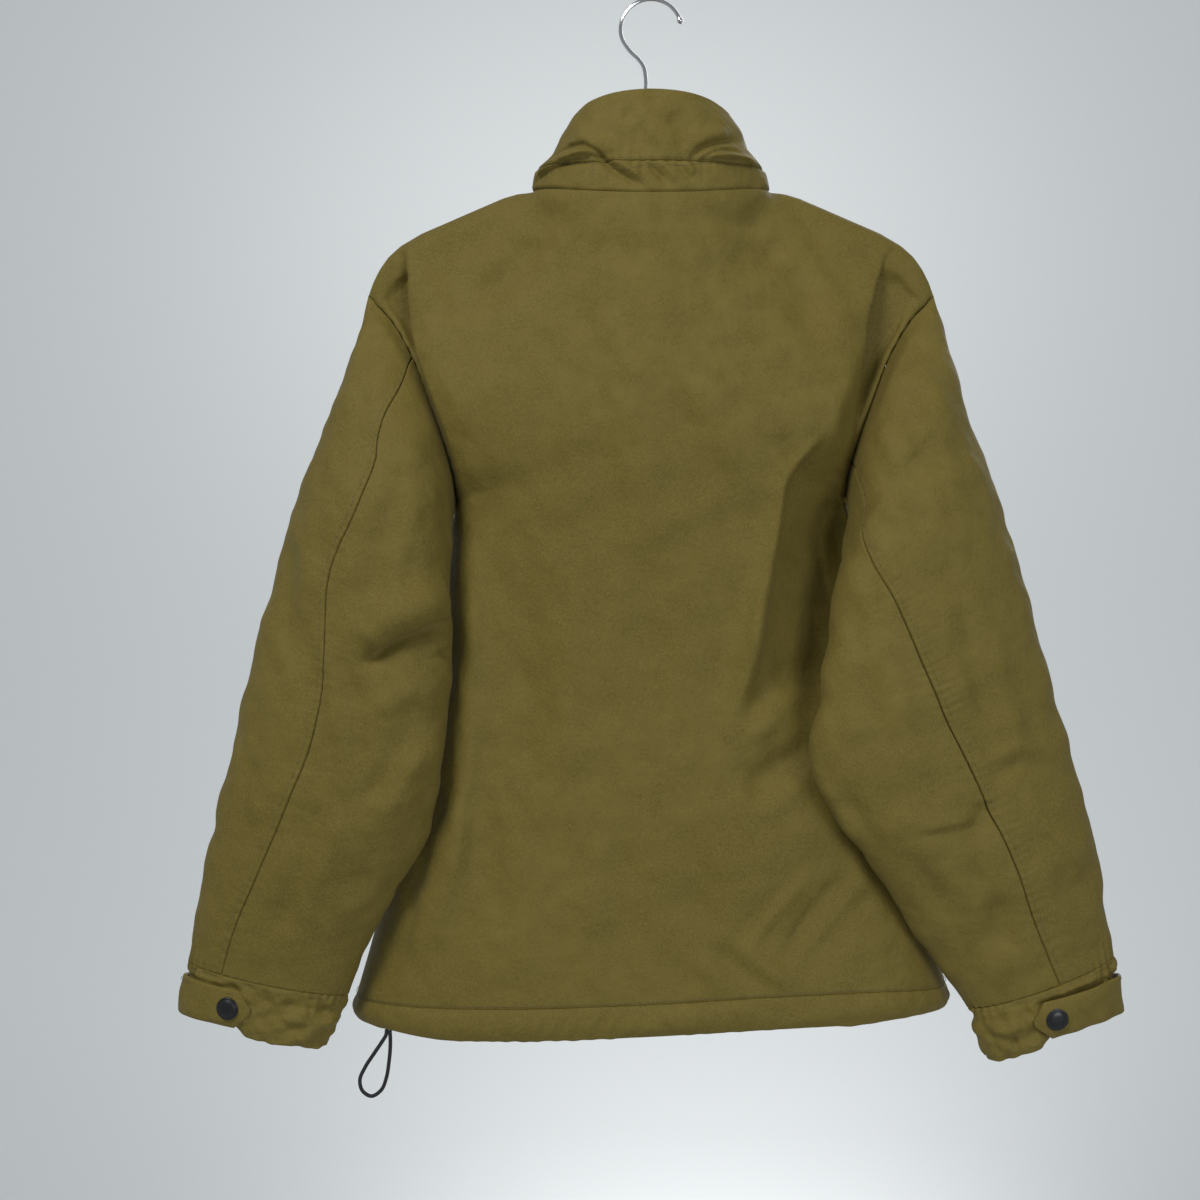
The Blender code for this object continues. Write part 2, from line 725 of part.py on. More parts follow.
def make_body():
    """The back in one piece, and two fronts that stop short of the zip."""
    levels = body_levels()
    across = np.repeat(back_places()[None, :], len(levels), axis=0)
    points = body(across, levels[:, None], True)
    inward = body_inward(across, levels, True, [(0, -1), (-1, 1)])
    part_seams(points, True, [(0, -1), (-1, 1)])
    wall("back", points, inward)
    for side, name in ((1, "front_left"), (-1, "front_right")):
        across = np.stack([front_places(level) for level in levels]) * side
        points = body(across, levels[:, None], False)
        inward = body_inward(across, levels, False, [(-1, side)])
        part_seams(points, False, [(-1, side)])
        wall(name, points, inward)


def make_sleeve(side, word):
    """The upper sleeve, round the outside of the arm, and the under sleeve, between the two seams."""
    shares = np.concatenate([np.linspace(0, 0.24, 5), np.linspace(0.30, 0.92, 10), [0.97, 1.0]])[:, None]
    step = math.radians(RING_STEP)
    gap = SEAM_SHARE * SEAM / WRIST_RADIUS
    back_seam = seam_turn(side, shares)
    ranges = {
        "upper": (back_seam - UPPER_STEPS * step, back_seam, UPPER_STEPS),
        "under": (back_seam, back_seam + (RING_STEPS - UPPER_STEPS) * step, RING_STEPS - UPPER_STEPS),
    }
    _, _, leaving = armhole_frame(side)
    for piece, (start, end, steps) in ranges.items():
        turn = start + (end - start) * np.linspace(0, 1, steps + 1)
        way = normals(lambda u, v: sleeve(side, v, u), turn, shares, (-99, 0), (99, 1))
        spoke = sleeve(side, shares, turn) - sleeve_middle(side, shares)
        way = way * np.sign((way * spoke).sum(-1, keepdims=True))
        settled = smooth(shares / ARMHOLE_REACH * 2)[..., None]
        way = unit(armhole_out(turn, side) * (1 - settled) + way * settled)
        way[-1] = unit(spoke[-1])
        turn[:, 0] += gap
        turn[:, -1] -= gap
        points = sleeve(side, shares, turn)
        points[0] += leaving * ARMHOLE_GAP
        points[0, :, 2] += UNDERARM_LIFT * ((1 - np.cos(turn[0])) / 2) ** 6
        points[-1] -= cuff_axis(side) * SEAM / 2
        wall(f"sleeve_{word}_{piece}", points, way * -CLOTH)


def make_cuff(side, word):
    """The cuff, its strap and the snap that holds the strap down."""
    drops = np.array([0, 0.25, 0.5, 0.75, 1.0])[:, None] * CUFF
    points = cuff(side, drops, cuff_turns(side)) + cuff_axis(side) * SEAM / 2
    spoke = unit(points - points.mean(1, keepdims=True))
    wall(f"cuff_{word}", points, spoke * -CLOTH, closed=True)
    make_tab(side, word)


# The strap on each cuff: where it starts and ends round the cuff, in degrees, and how far down its middle is.
TABS = {
    1: {"start": -45, "tip": 86.5, "drop_start": 26 * MM, "drop_tip": 22 * MM},
    -1: {"start": -45, "tip": 107, "drop_start": 33 * MM, "drop_tip": 21 * MM},
}


def cuff_turns(side):
    """The turns of the cuff's corners."""
    return np.arange(RING_STEPS) * math.radians(RING_STEP) + seam_turn(side, 1.0)


def tab_point(side, turn, offset):
    """The middle line of a strap on its cuff, moved out by an offset, and the way out there."""
    tab = TABS[side]
    start, tip = math.radians(tab["start"]), math.radians(tab["tip"])
    along = (turn - start) / (tip - start)
    drop = tab["drop_start"] + (tab["drop_tip"] - tab["drop_start"]) * along
    point = cuff(side, drop, turn)
    out = normals(lambda u, v: cuff(side, v, u), turn, drop, (-9, 0), (9, CUFF), 0.002)
    spoke = point - sleeve_middle(side, 1.0)
    out = out * np.sign((out * spoke).sum(-1, keepdims=True))
    return point + out * offset, out


def make_tab(side, word):
    """A strap that lies on the cuff and comes to a blunt point, with a round snap near the point.

    Its own corners lie over the cuff's, so that the two stay side by side round the cuff's sharp outer edge.
    """
    start, tip = math.radians(TABS[side]["start"]), math.radians(TABS[side]["tip"])
    fine = np.linspace(start, tip, 60)
    line, _ = tab_point(side, fine, 0.0)
    length = np.concatenate([[0], np.cumsum(np.linalg.norm(np.diff(line, axis=0), axis=1))])
    point_starts, point_half = np.interp(length[-1] - TAB_POINT * np.array([1, 0.5]), length, fine)
    corners = np.sort((cuff_turns(side) + math.pi) % (2 * math.pi) - math.pi)
    corners = corners[(corners > start) & (corners < point_starts - 0.05)]
    turn = np.concatenate([corners, [point_starts, point_half, tip]])
    half_width = np.full(len(turn), TAB_HALF_WIDTH)
    half_width[-2:] = (TAB_HALF_WIDTH + TAB_TIP_HALF_WIDTH) / 2, TAB_TIP_HALF_WIDTH
    middle, out = tab_point(side, turn, LAID_ON + TAB_CLOTH)
    sideways = unit(np.cross(out, unit(np.gradient(middle, axis=0))))
    places = np.linspace(-1, 1, 5)[None, :, None]
    points = middle[:, None] + sideways[:, None] * half_width[:, None, None] * places
    wall(f"cuff_tab_{word}", points, np.repeat(out[:, None] * -TAB_CLOTH, 5, axis=1))
    at = np.interp(length[-1] - SNAP_FROM_TIP, length, fine)
    seat, seat_out = tab_point(side, np.array([at]), LAID_ON + TAB_CLOTH + SEAM)
    make_snap(f"cuff_snap_{word}", seat[0], seat_out[0])


# The snap's turned profile: radius and height as shares of its own.
SNAP_PROFILE = [(0, 0), (0.90, 0), (1.0, 0.2), (1.0, 0.45), (0.90, 0.75), (0.62, 0.92), (0, 1)]
SNAP_SIDES = 16


def make_snap(name, seat, out):
    """A low dome turned about the way out of its seat."""
    turns = np.arange(SNAP_SIDES) * 2 * math.pi / SNAP_SIDES
    rings = [(r * SNAP_RADIUS, h * SNAP_HEIGHT) for r, h in SNAP_PROFILE[1:-1]]
    local = [(r * math.cos(t), r * math.sin(t), h) for r, h in rings for t in turns]
    local += [(0, 0, 0), (0, 0, SNAP_HEIGHT)]
    turned = Vector((0, 0, 1)).rotation_difference(Vector(out)).to_matrix()
    points = [Vector(seat) + turned @ Vector(p) for p in local]
    faces = []
    following = np.roll(np.arange(SNAP_SIDES), -1)
    for ring in range(len(rings) - 1):
        for a, b in enumerate(following):
            low, high = ring * SNAP_SIDES, (ring + 1) * SNAP_SIDES
            faces.append((low + a, low + b, high + b, high + a))
    bottom, top, last = len(points) - 2, len(points) - 1, (len(rings) - 1) * SNAP_SIDES
    for a, b in enumerate(following):
        faces.append((b, a, bottom))
        faces.append((last + a, last + b, top))
    solid(name, points, faces, "black_plastic")


# The casing's rows: the share of the way down, and how far it stands out from the hem's line.
HEM_ROWS = table("share out", [(0.0, 0.0), (0.25, 2.0), (0.7, 2.2), (1.0, -0.8)])


def hem_line():
    """The hem seam's loop from the zip round the wearer's left and the back to the zip, with its ways out."""
    front, behind = front_places(0.0), back_places()[::-1]
    left, right = body(front, 0.0, False), body(-front[::-1], 0.0, False)
    rear = body(behind, 0.0, True)
    loop = np.concatenate([left, rear[1:-1], right])
    ways = [hem_ways(front, False), hem_ways(behind, True)[1:-1], hem_ways(-front[::-1], False)]
    return loop, np.concatenate(ways)


def make_hem_band():
    """The casing at the hem, a little puffed out by the cord in it."""
    loop, out = hem_line()
    rows = []
    for share, push in zip(HEM_ROWS["share"], HEM_ROWS["out"]):
        down = SEAM / 2 + casing_drop(loop[:, 0], share)
        rows.append(loop + out * push - down[:, None] * [0, 0, 1])
    wall("hem_band", np.stack(rows), np.stack([out] * len(rows)) * -CLOTH)


def collar_turns(share):
    """Turns round the collar, from the zip round the wearer's left and the back to the zip."""
    opening = math.acos(ZIP_HALF_GAP / float(read(COLLAR, "half_width", share)))
    half = np.linspace(-opening, 0, NECK_STEPS // 2 + 1)
    behind = np.linspace(0, math.pi, NECK_STEPS + 1)
    return np.concatenate([half, behind[1:-1], math.pi - half[::-1]])


def collar_way(turn, share):
    """Square to the collar's surface, outwards; along the neck seam it is the body's own way out."""
    way = normals(collar, turn, share, (-9, 0), (9, 1))
    point = collar(turn, share)
    way = way * np.sign((way[..., :2] * point[..., :2]).sum(-1, keepdims=True))
    return np.where(np.asarray(share)[..., None] < 1e-9, neck_out(turn), way)


def make_collar():
    """The stand along the neck seam, and the funnel above it."""
    for name, low, high, rows in (("collar_stand", 0.0, STAND_SHARE, 4), ("collar", STAND_SHARE, 1.0, 8)):
        shares = np.linspace(low, high, rows)
        turn = np.stack([collar_turns(share) for share in shares])
        share = np.repeat(shares[:, None], turn.shape[1], axis=1)
        points, way = collar(turn, share), collar_way(turn, share)
        joint = 0 if low else -1
        way[joint] = unit(way[joint] * [1, 1, 0])
        from_zip = (np.abs(points[..., 0]) - ZIP_TAPE_HALF) / COLLAR_THICKENS
        from_zip = np.where(points[..., 1] > 0, 1, from_zip)
        thicker = smooth(from_zip) * smooth(share / STAND_SHARE)
        thickness = CLOTH + (COLLAR_CLOTH - CLOTH) * thicker
        points[0, :, 2] += SEAM if low else SEAM / 2
        if not low:
            points[-1, :, 2] -= SEAM
        wall(name, points, way * -thickness[..., None])


def front_strip(x, inset):
    """Points down the front at each x: through the casing, the fronts and the collar, a set way inside."""
    x, inset = np.broadcast_arrays(np.asarray(x, float), inset)
    inward = np.stack([np.zeros_like(x), inset, np.zeros_like(x)], -1)
    side = np.sign(x)
    rows = []
    for share, push in list(zip(HEM_ROWS["share"], HEM_ROWS["out"]))[::-1]:
        row = body(place_at(np.abs(x), 0.0) * side, 0.0, False)
        rows.append(row + inward - [0, push, casing_drop(0, share)])
    for level in body_levels()[1:-1]:
        rows.append(body(place_at(np.abs(x), level) * side, level, False) + inward)
    shares = np.concatenate([np.linspace(0, STAND_SHARE, 4), np.linspace(STAND_SHARE, ZIP_TOP_SHARE, 7)[1:]])
    for share in shares:
        turn = -np.arccos(x / float(read(COLLAR, "half_width", share)))
        rows.append(collar(turn, share) - inset[:, None] * collar_way(turn, np.full_like(turn, share)))
    return np.stack(rows)


def make_zip():
    """Two tapes behind the fronts' edges, leaning off them outwards, and the closed chain between them."""
    for side, word in ((1, "left"), (-1, "right")):
        x = side * np.array([SEAM / 2, ZIP_HALF_GAP, ZIP_TAPE_HALF])
        inset = CLOTH + LAID_ON + ZIP_TAPE_LEANS * (x / ZIP_TAPE_HALF) ** 2
        outer, inner = front_strip(x, inset), front_strip(x, inset + ZIP_TAPE)
        wall(f"zip_tape_{word}", outer, inner - outer, "zip_tape")
    x = np.array([-ZIP_CHAIN_HALF, 0, ZIP_CHAIN_HALF])
    outer, inner = front_strip(x, ZIP_CHAIN_SUNK), front_strip(x, ZIP_CHAIN_SUNK + ZIP_CHAIN_DEPTH)
    wall("zip_chain", outer, inner - outer, "zip_metal")


def slider_frame():
    """Where the slider sits on the zip: its axes are the wearer's left, out of the collar and up it."""
    turn = np.array([-math.pi / 2])
    seat = collar(turn, SLIDER_SHARE)[0]
    out = collar_way(turn, np.array([SLIDER_SHARE]))[0]
    upward = np.cross(out, [1.0, 0.0, 0.0])
    upward = upward * np.sign(upward[2])
    frame = Matrix([(1, out[0], upward[0]), (0, out[1], upward[1]), (0, out[2], upward[2])]).to_4x4()
    return Matrix.Translation(Vector(seat)) @ frame


def prism(name, outline, low, high, way, finish):
    """A solid from an outline in one plane, pushed from low to high along the third axis: 0 is x and 1 is out."""
    outline = np.array(outline, float)
    ends = []
    for at in (low, high):
        level = np.full(len(outline), at)
        columns = (level, outline[:, 0], outline[:, 1]) if way == 0 else (outline[:, 0], level, outline[:, 1])
        ends.append(np.stack(columns, -1))
    count = len(outline)
    around = np.arange(count)
    following = np.roll(around, -1)
    faces = [tuple(around), tuple(around[::-1] + count)]
    faces += [(b, a, a + count, b + count) for a, b in zip(around, following)]
    return solid(name, np.concatenate(ends), faces, finish)


def arch(span, rise, points=9):
    """The upper half of a squared oval, from its foot below to its foot above: out and up."""
    turns = np.linspace(-math.pi / 2, math.pi / 2, points)
    out = np.clip(np.cos(turns), 0, 1) ** 0.6 * rise
    up = np.sign(turns) * np.abs(np.sin(turns)) ** 0.8 * span / 2
    return np.stack([out, up], -1)


def make_slider():
    """A slider plate on the chain with a bridge over it, made as one body."""
    half_width, half_length = SLIDER_WIDTH / 2, SLIDER_LENGTH / 2
    outline = [
        (-half_width * 0.55, -half_length),
        (half_width * 0.55, -half_length),
        (half_width, -half_length * 0.35),
        (half_width, half_length * 0.6),
        (half_width * 0.55, half_length),
        (-half_width * 0.55, half_length),
        (-half_width, half_length * 0.6),
        (-half_width, -half_length * 0.35),
    ]
    plate = prism("zip_slider", outline, LAID_ON, LAID_ON + SLIDER_PLATE, 1, "zip_metal")
    face = LAID_ON + SLIDER_PLATE
    outside = arch(BRIDGE_SPAN, BRIDGE_RISE)
    inside = arch(BRIDGE_SPAN - 2 * BRIDGE_WIRE, BRIDGE_RISE - BRIDGE_WIRE)[::-1]
    foot = 0.6 * MM
    outside[[0, -1], 0] = -foot
    inside[[0, -1], 0] = -foot
    profile = np.concatenate([outside, inside]) + [face, 0]
    bridge = prism("slider_bridge", profile, -BRIDGE_WIDTH / 2, BRIDGE_WIDTH / 2, 0, "zip_metal")
    bridge.hide_render = True
    bridge.display_type = "WIRE"
    joined = plate.modifiers.new("bridge", "BOOLEAN")
    joined.operation = "UNION"
    joined.object = bridge
    for piece in (plate, bridge):
        piece.data.transform(slider_frame())


def pull_axis():
    """The middle of the pull's bar, on the hinge axis, under the slider's bridge."""
    reach = LAID_ON + SLIDER_PLATE + (BRIDGE_RISE - BRIDGE_WIRE) / 2
    return slider_frame() @ Vector((0, reach, 0))


def make_pull():
    """The pull tab hanging from the bridge: a flat plate with an eye whose top bar lies on the hinge axis."""
    half_width, half_bar = PULL_WIDTH / 2, PULL_BAR / 2
    eye_half_width = BRIDGE_WIDTH / 2 + 0.5 * MM
    eye_bottom = -half_bar - PULL_EYE
    foot = half_bar - PULL_LENGTH
    outer = [
        (-half_width * 0.62, half_bar),
        (half_width * 0.62, half_bar),
        (half_width * 0.72, eye_bottom * 0.6),
        (half_width, eye_bottom * 1.5),
        (half_width, foot + 2 * MM),
        (half_width * 0.6, foot),
        (-half_width * 0.6, foot),
        (-half_width, foot + 2 * MM),
        (-half_width, eye_bottom * 1.5),
        (-half_width * 0.72, eye_bottom * 0.6),
    ]
    eye = [
        (-eye_half_width, -half_bar),
        (eye_half_width, -half_bar),
        (eye_half_width, eye_bottom),
        (-eye_half_width, eye_bottom),
    ]
    pull = prism("zip_pull", outer, -PULL_DEPTH / 2, PULL_DEPTH / 2, 1, "zip_metal")
    hole = prism("pull_eye", eye, -PULL_DEPTH, PULL_DEPTH, 1, "zip_metal")
    hole.hide_render = True
    hole.display_type = "WIRE"
    cut = pull.modifiers.new("eye", "BOOLEAN")
    cut.operation = "DIFFERENCE"
    cut.object = hole
    for piece in (pull, hole):
        piece.location = pull_axis()


def smooth_route(points, count):
    """Evenly spaced points on a smooth curve through a route's own points."""
    points = np.asarray(points, float)
    length = np.concatenate([[0], np.cumsum(np.linalg.norm(np.diff(points, axis=0), axis=1))])
    fine = np.linspace(0, length[-1], 40 * len(points))
    curve = np.stack([eased(fine, length, column) for column in points.T], -1)
    along = np.concatenate([[0], np.cumsum(np.linalg.norm(np.diff(curve, axis=0), axis=1))])
    even = np.linspace(0, along[-1], count)
    return np.stack([np.interp(even, along, column) for column in curve.T], -1)


def tube(name, points, radius, sides_level, finish, widths=None):
    """A round tube along points, with filled ends; widths scale its radius at each point."""
    curve = bpy.data.curves.new(name, "CURVE")
    curve.dimensions = "3D"
    curve.bevel_depth = radius
    curve.bevel_resolution = sides_level
    curve.use_fill_caps = True
    spline = curve.splines.new("POLY")
    spline.points.add(len(points) - 1)
    for at, (point, place) in enumerate(zip(spline.points, points)):
        point.co = (*place, 1)
        if widths is not None:
            point.radius = widths[at]
    return add_object(name, curve, finish)


def hanger_line():
    """The hanger bar's middle line: level under the neck's sides, arched inside them, and under the shoulders."""
    x = np.linspace(-HANGER_REACH, HANGER_REACH, 25)
    under = np.interp(np.abs(x), *SHOULDER.T) - HANGER_UNDER
    at_neck = SHOULDER[0, 1] - HANGER_UNDER
    arched = HANGER_CROWN_Z + (at_neck - HANGER_CROWN_Z) * (np.abs(x) / HANGER_NECK) ** 1.3
    return np.stack([x, np.zeros_like(x), np.where(np.abs(x) < HANGER_NECK, arched, under)], -1)


def make_hanger():
    """A plain shaped bar under the shoulders, and the wire hook that stands on its middle."""
    line = hanger_line()
    from_end = (HANGER_REACH - np.abs(line[:, 0])) / (60 * MM)
    widths = 0.72 + 0.28 * smooth(from_end)
    widths[[0, -1]] = 0.45
    tube("hanger_bar", line, HANGER_RADIUS, 3, "hanger", widths)
    turns = np.radians(np.arange(HOOK_OPENS, HOOK_TURNS_IN, -10.5))
    arc = np.stack([HOOK_RADIUS * np.cos(turns), HOOK_RADIUS * np.sin(turns) + WIRE_RADIUS - HOOK_RADIUS], -1)
    crown_top = float(np.interp(STEM_X, line[:, 0], line[:, 2])) + HANGER_RADIUS + LAID_ON
    neck = np.array(HOOK_NECK) * MM
    stem = [(STEM_X, z) for z in np.linspace(STEM_TOP_Z, crown_top, 5)]
    path = np.concatenate([arc, neck, stem])
    points = smooth_route(np.insert(path, 1, 0, axis=1), 44)
    widths = np.ones(len(points))
    widths[:4] = 0.7, 1.45, 1.6, 1.25
    tube("hanger_hook", points, WIRE_RADIUS, 2, "chrome", widths)


def make_drawcord():
    """The loop of cord that hangs out of the casing, both of whose ends go back up into it."""
    loop, out = hem_line()
    behind = loop[:, 1] > 0
    order = np.argsort(loop[behind][:, 0])
    line, ways = loop[behind][order], out[behind][order]
    route = []
    for x, away, down in np.array(CORD_ROUTE) * MM:
        held = min(x, 0.212)
        seat = np.array([np.interp(held, line[:, 0], column) for column in line.T])
        way = np.array([np.interp(held, line[:, 0], column) for column in ways.T])
        middle = HEM_ROWS["out"][-1] - CLOTH / 2
        place = seat + unit(way) * (middle + away)
        top = float(hem_z(x) - casing_drop(x, 1.0)) - 2 * SEAM
        route.append((place[0] + x - held, place[1], top + down))
    tube("drawcord", smooth_route(route, CORD_POINTS), CORD_RADIUS, 2, "cord")


def build():
    """Clears the scene and makes every piece."""
    for thing in list(bpy.data.objects):
        bpy.data.objects.remove(thing, do_unlink=True)
    make_body()
    for side, word in ((1, "left"), (-1, "right")):
        make_sleeve(side, word)
        make_cuff(side, word)
    make_hem_band()
    make_collar()
    make_zip()
    make_slider()
    make_pull()
    make_hanger()
    make_drawcord()


build()
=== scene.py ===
"""The looks of a fleece-lined jacket with a funnel collar, hung on a hanger with a wire hook.

Metres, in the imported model's frame: +Z up, the origin is the inside top of the hook, the jacket's front faces -Y
and the wearer's left is +X. Every cloth piece is a thin wall on the form of its solid: the same tables and
functions work out its surface, on a finer grid, and the creases below are added to it. A grid's last axis is x,
y, z. "Level" is the share of the way up the body, "share" the share along a sleeve or up the collar, and "turn"
an angle round a section.
"""

import math

import bmesh
import bpy
import numpy as np
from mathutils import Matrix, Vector


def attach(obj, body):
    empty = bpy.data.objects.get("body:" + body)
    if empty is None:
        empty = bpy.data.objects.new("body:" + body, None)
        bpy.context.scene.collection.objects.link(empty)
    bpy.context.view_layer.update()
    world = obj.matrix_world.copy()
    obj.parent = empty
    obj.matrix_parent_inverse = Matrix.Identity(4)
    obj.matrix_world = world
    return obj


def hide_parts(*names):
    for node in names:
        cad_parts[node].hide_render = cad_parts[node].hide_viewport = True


MM = 0.001
# Cloth: shell and fleece together, and the room left at seams and under what is laid on a panel.
CLOTH = 3.0 * MM
COLLAR_CLOTH = 4.5 * MM
TAB_CLOTH = 2.2 * MM
SEAM = 0.3 * MM
LAID_ON = 0.35 * MM
# Body.
HEM_BAND = 25 * MM
HEM_CORNER = 7.5 * MM
HEM_CORNER_STARTS = 150 * MM
HEM_CORNER_ENDS = 240 * MM
UNDERARM_LEVEL = 0.634
SHOULDER_ROUND = 14 * MM
SHOULDER_FALL = 205 * MM
SHOULDER_QUICK = 0.24
FOLDS_START = 16 * MM
FOLD_FADE = 0.28
FOLD_END_HEIGHT = 0.15
LAP_FADE = 0.3
# Neck.
NECK_BLUR = 2.0
NECK_BLUR_MOST = 80 * MM
NECK_HALF_WIDTH = 94 * MM
NECK_BACK_Y = 58 * MM
NECK_FRONT_Y = -70 * MM
NECK_BACK_DROP = 10.5 * MM
NECK_FRONT_DROP = 68 * MM
NECK_FRONT_CURVE = 1.6
COLLAR_TOP_STRAIGHTER = 0.55
COLLAR_TOP_FLATTER = 1.4
STAND_SHARE = 0.30
COLLAR_THICKENS = 30 * MM
# Front zip.
ZIP_HALF_GAP = 4.4 * MM
ZIP_CHAIN_SUNK = 0.4 * MM
ZIP_TAPE_HALF = 14 * MM
ZIP_TOP_SHARE = 0.95
# Sleeves and cuffs.
RING_STEPS = 26
RING_STEP = 360 / RING_STEPS
UPPER_STEPS = 16
ARMHOLE_REACH = 0.24
WRIST_RADIUS = 20 * MM
SEAM_SHARE = 0.5
CUFF = 41 * MM
CUFF_NARROWS = 0.10
CUFF_SWING = 0.21
CUFF_BELLY = 1.5 * MM
TAB_HALF_WIDTH = 14.5 * MM
TAB_POINT = 11 * MM
SNAP_RADIUS = 8.8 * MM
SNAP_HEIGHT = 3.0 * MM
SNAP_FROM_TIP = 17 * MM
SNAP_SIDES = 48
# Hanger.
WIRE_RADIUS = 1.6 * MM
HOOK_RADIUS = 24.4 * MM
HOOK_OPENS = 169
HOOK_TURNS_IN = -20
HOOK_NECK = [(16.2, -40.6), (9.8, -46.8), (5.9, -52.6)]
STEM_X = 4.4 * MM
STEM_TOP_Z = -60 * MM
HANGER_RADIUS = 6.5 * MM
HANGER_REACH = 204 * MM
HANGER_CROWN_Z = -133 * MM
HANGER_UNDER = 11.5 * MM
HANGER_NECK = 88 * MM
# Drawcord: it leaves the casing no further out than this.
CORD_RADIUS = 1.5 * MM
CORD_LEAVES_X = 212 * MM


def table(columns, rows, unit=MM):
    """Named columns of a short table. The first column is a share; the others are given in the unit."""
    values = np.array(rows, float)
    values[:, 1:] *= unit
    return dict(zip(columns.split(), values.T))


# The hem seam's height: the jacket hangs a little low on the wearer's left.
HEM_SEAM = table(
    "x_mm z",
    [(-240, -785), (-180, -782.5), (-100, -784), (0, -789.5), (100, -793.5), (155, -794.5), (240, -794)],
)
# The side seam, from the hem seam up to the underarm.
SIDE = table(
    "level half_width y",
    [
        (0.000, 236, -18), (0.162, 210, -22), (0.289, 189, -24), (0.384, 179, -24), (0.479, 174, -24),
        (0.557, 168, -22), (0.600, 162, -16), (0.634, 155, -4),
    ],
)
# The armhole, from the underarm up to the end of the shoulder seam.
ARMHOLE = table(
    "level half_width back_y front_y",
    [
        (0.634, 155, -4, -4), (0.669, 157, 17, -22), (0.721, 165, 35, -37), (0.776, 176, 44, -45),
        (0.829, 187, 44, -46), (0.893, 203, 36, -38), (0.948, 217, 19, -20), (1.000, 226, 0, 0),
    ],
)
# How far the middle of the back and of the front stand from the hanger's plane.
DEPTH = table(
    "level back front",
    [
        (0.00, 66, -78), (0.20, 62, -79), (0.45, 60, -82), (0.70, 64, -85), (0.85, 65, -80), (1.00, 58, -70),
    ],
)
# How square the oval of each level is: 2 is a plain oval, and the sleeves press the back rounder by the underarm.
SQUARE = table(
    "level back front",
    [
        (0.00, 3.1, 3.0), (0.25, 2.8, 2.9), (0.45, 2.5, 2.8), (0.60, 2.2, 2.7), (0.74, 2.45, 2.7),
        (0.88, 2.8, 2.8), (1.00, 3.0, 3.0),
    ],
    1,
)
# The shoulder line, from the side of the neck out to the armhole: x and z.
SHOULDER = (
    np.array(
        [
            (94, -153.5), (106, -154.5), (118, -158), (139, -167), (162, -177), (183, -186), (200, -196),
            (210, -205), (217, -215), (222, -225), (226, -236),
        ]
    )
    * MM
)
SLEEVE_COLUMNS = "share outer_x outer_y outer_z inner_x inner_y inner_z half_depth"
SLEEVES = {
    1: table(
        SLEEVE_COLUMNS,
        [
            (0.00, 226, 0, -236, 155, -4, -401, 44), (0.10, 237, 8, -283, 157, 30, -425, 46),
            (0.20, 251, 14, -325, 158, 42, -448, 47), (0.32, 271, 20, -378, 157, 48, -478, 46),
            (0.44, 290, 24, -437, 156, 51, -512, 44), (0.56, 307, 27, -503, 158, 53, -556, 43),
            (0.67, 322, 29, -566, 163, 53, -604, 41), (0.78, 336, 30, -625, 172, 51, -654, 39),
            (0.88, 349, 30, -683, 198, 47, -704, 35), (0.95, 358, 30, -725, 222, 41, -747, 30),
            (1.00, 363, 30, -762, 238, 36, -787, 25),
        ],
    ),
    -1: table(
        SLEEVE_COLUMNS,
        [
            (0.00, 226, 0, -236, 155, -4, -401, 44), (0.10, 238, 8, -283, 154, 32, -420, 45),
            (0.20, 246, 14, -325, 148, 47, -444, 45), (0.32, 265, 20, -378, 141, 58, -470, 42),
            (0.44, 283, 24, -437, 135, 66, -506, 38), (0.56, 302, 27, -503, 127, 72, -556, 35),
            (0.67, 319, 29, -566, 120, 75, -603, 33), (0.76, 333, 30, -615, 137, 71, -642, 33),
            (0.86, 347, 30, -672, 173, 60, -692, 33), (0.94, 356, 30, -722, 208, 48, -744, 29),
            (1.00, 361, 30, -757, 247, 37, -797, 25),
        ],
    ),
}
# The turn, in degrees, at which the back seam of each two-piece sleeve lies.
SEAM_START = {1: 6 * RING_STEP, -1: 10 * RING_STEP}
SLEEVE_SEAMS = {
    1: table(
        "share turn",
        [
            (0.00, SEAM_START[1]), (0.30, 82), (0.44, 74), (0.56, 80), (0.67, 82), (0.78, 75), (0.90, 68),
            (1.00, 59),
        ],
        1,
    ),
    -1: table(
        "share turn",
        [
            (0.00, SEAM_START[-1]), (0.20, 143), (0.32, 133), (0.44, 116), (0.56, 101), (0.67, 89), (0.80, 84),
            (1.00, 82),
        ],
        1,
    ),
}
# The collar, from the neck seam up: its side outline, how far its back and front stand, and its heights there.
COLLAR = table(
    "share half_width back_y front_y back_z side_z front_z",
    [
        (0.00, 94.0, 58.0, -70, -164.0, -153.5, -221.5), (0.12, 92.5, 57.5, -72, -154.5, -146.5, -212.0),
        (0.30, 89.0, 56.5, -76, -139.5, -137.0, -198.0), (0.45, 84.5, 55.5, -80, -127.0, -130.5, -186.0),
        (0.60, 79.5, 54.0, -84, -114.5, -123.5, -174.0), (0.80, 72.0, 50.5, -89, -97.5, -112.0, -157.0),
        (0.92, 66.0, 47.5, -91, -87.0, -105.0, -147.0), (1.00, 62.0, 45.0, -92, -81.5, -100.0, -141.0),
    ],
)
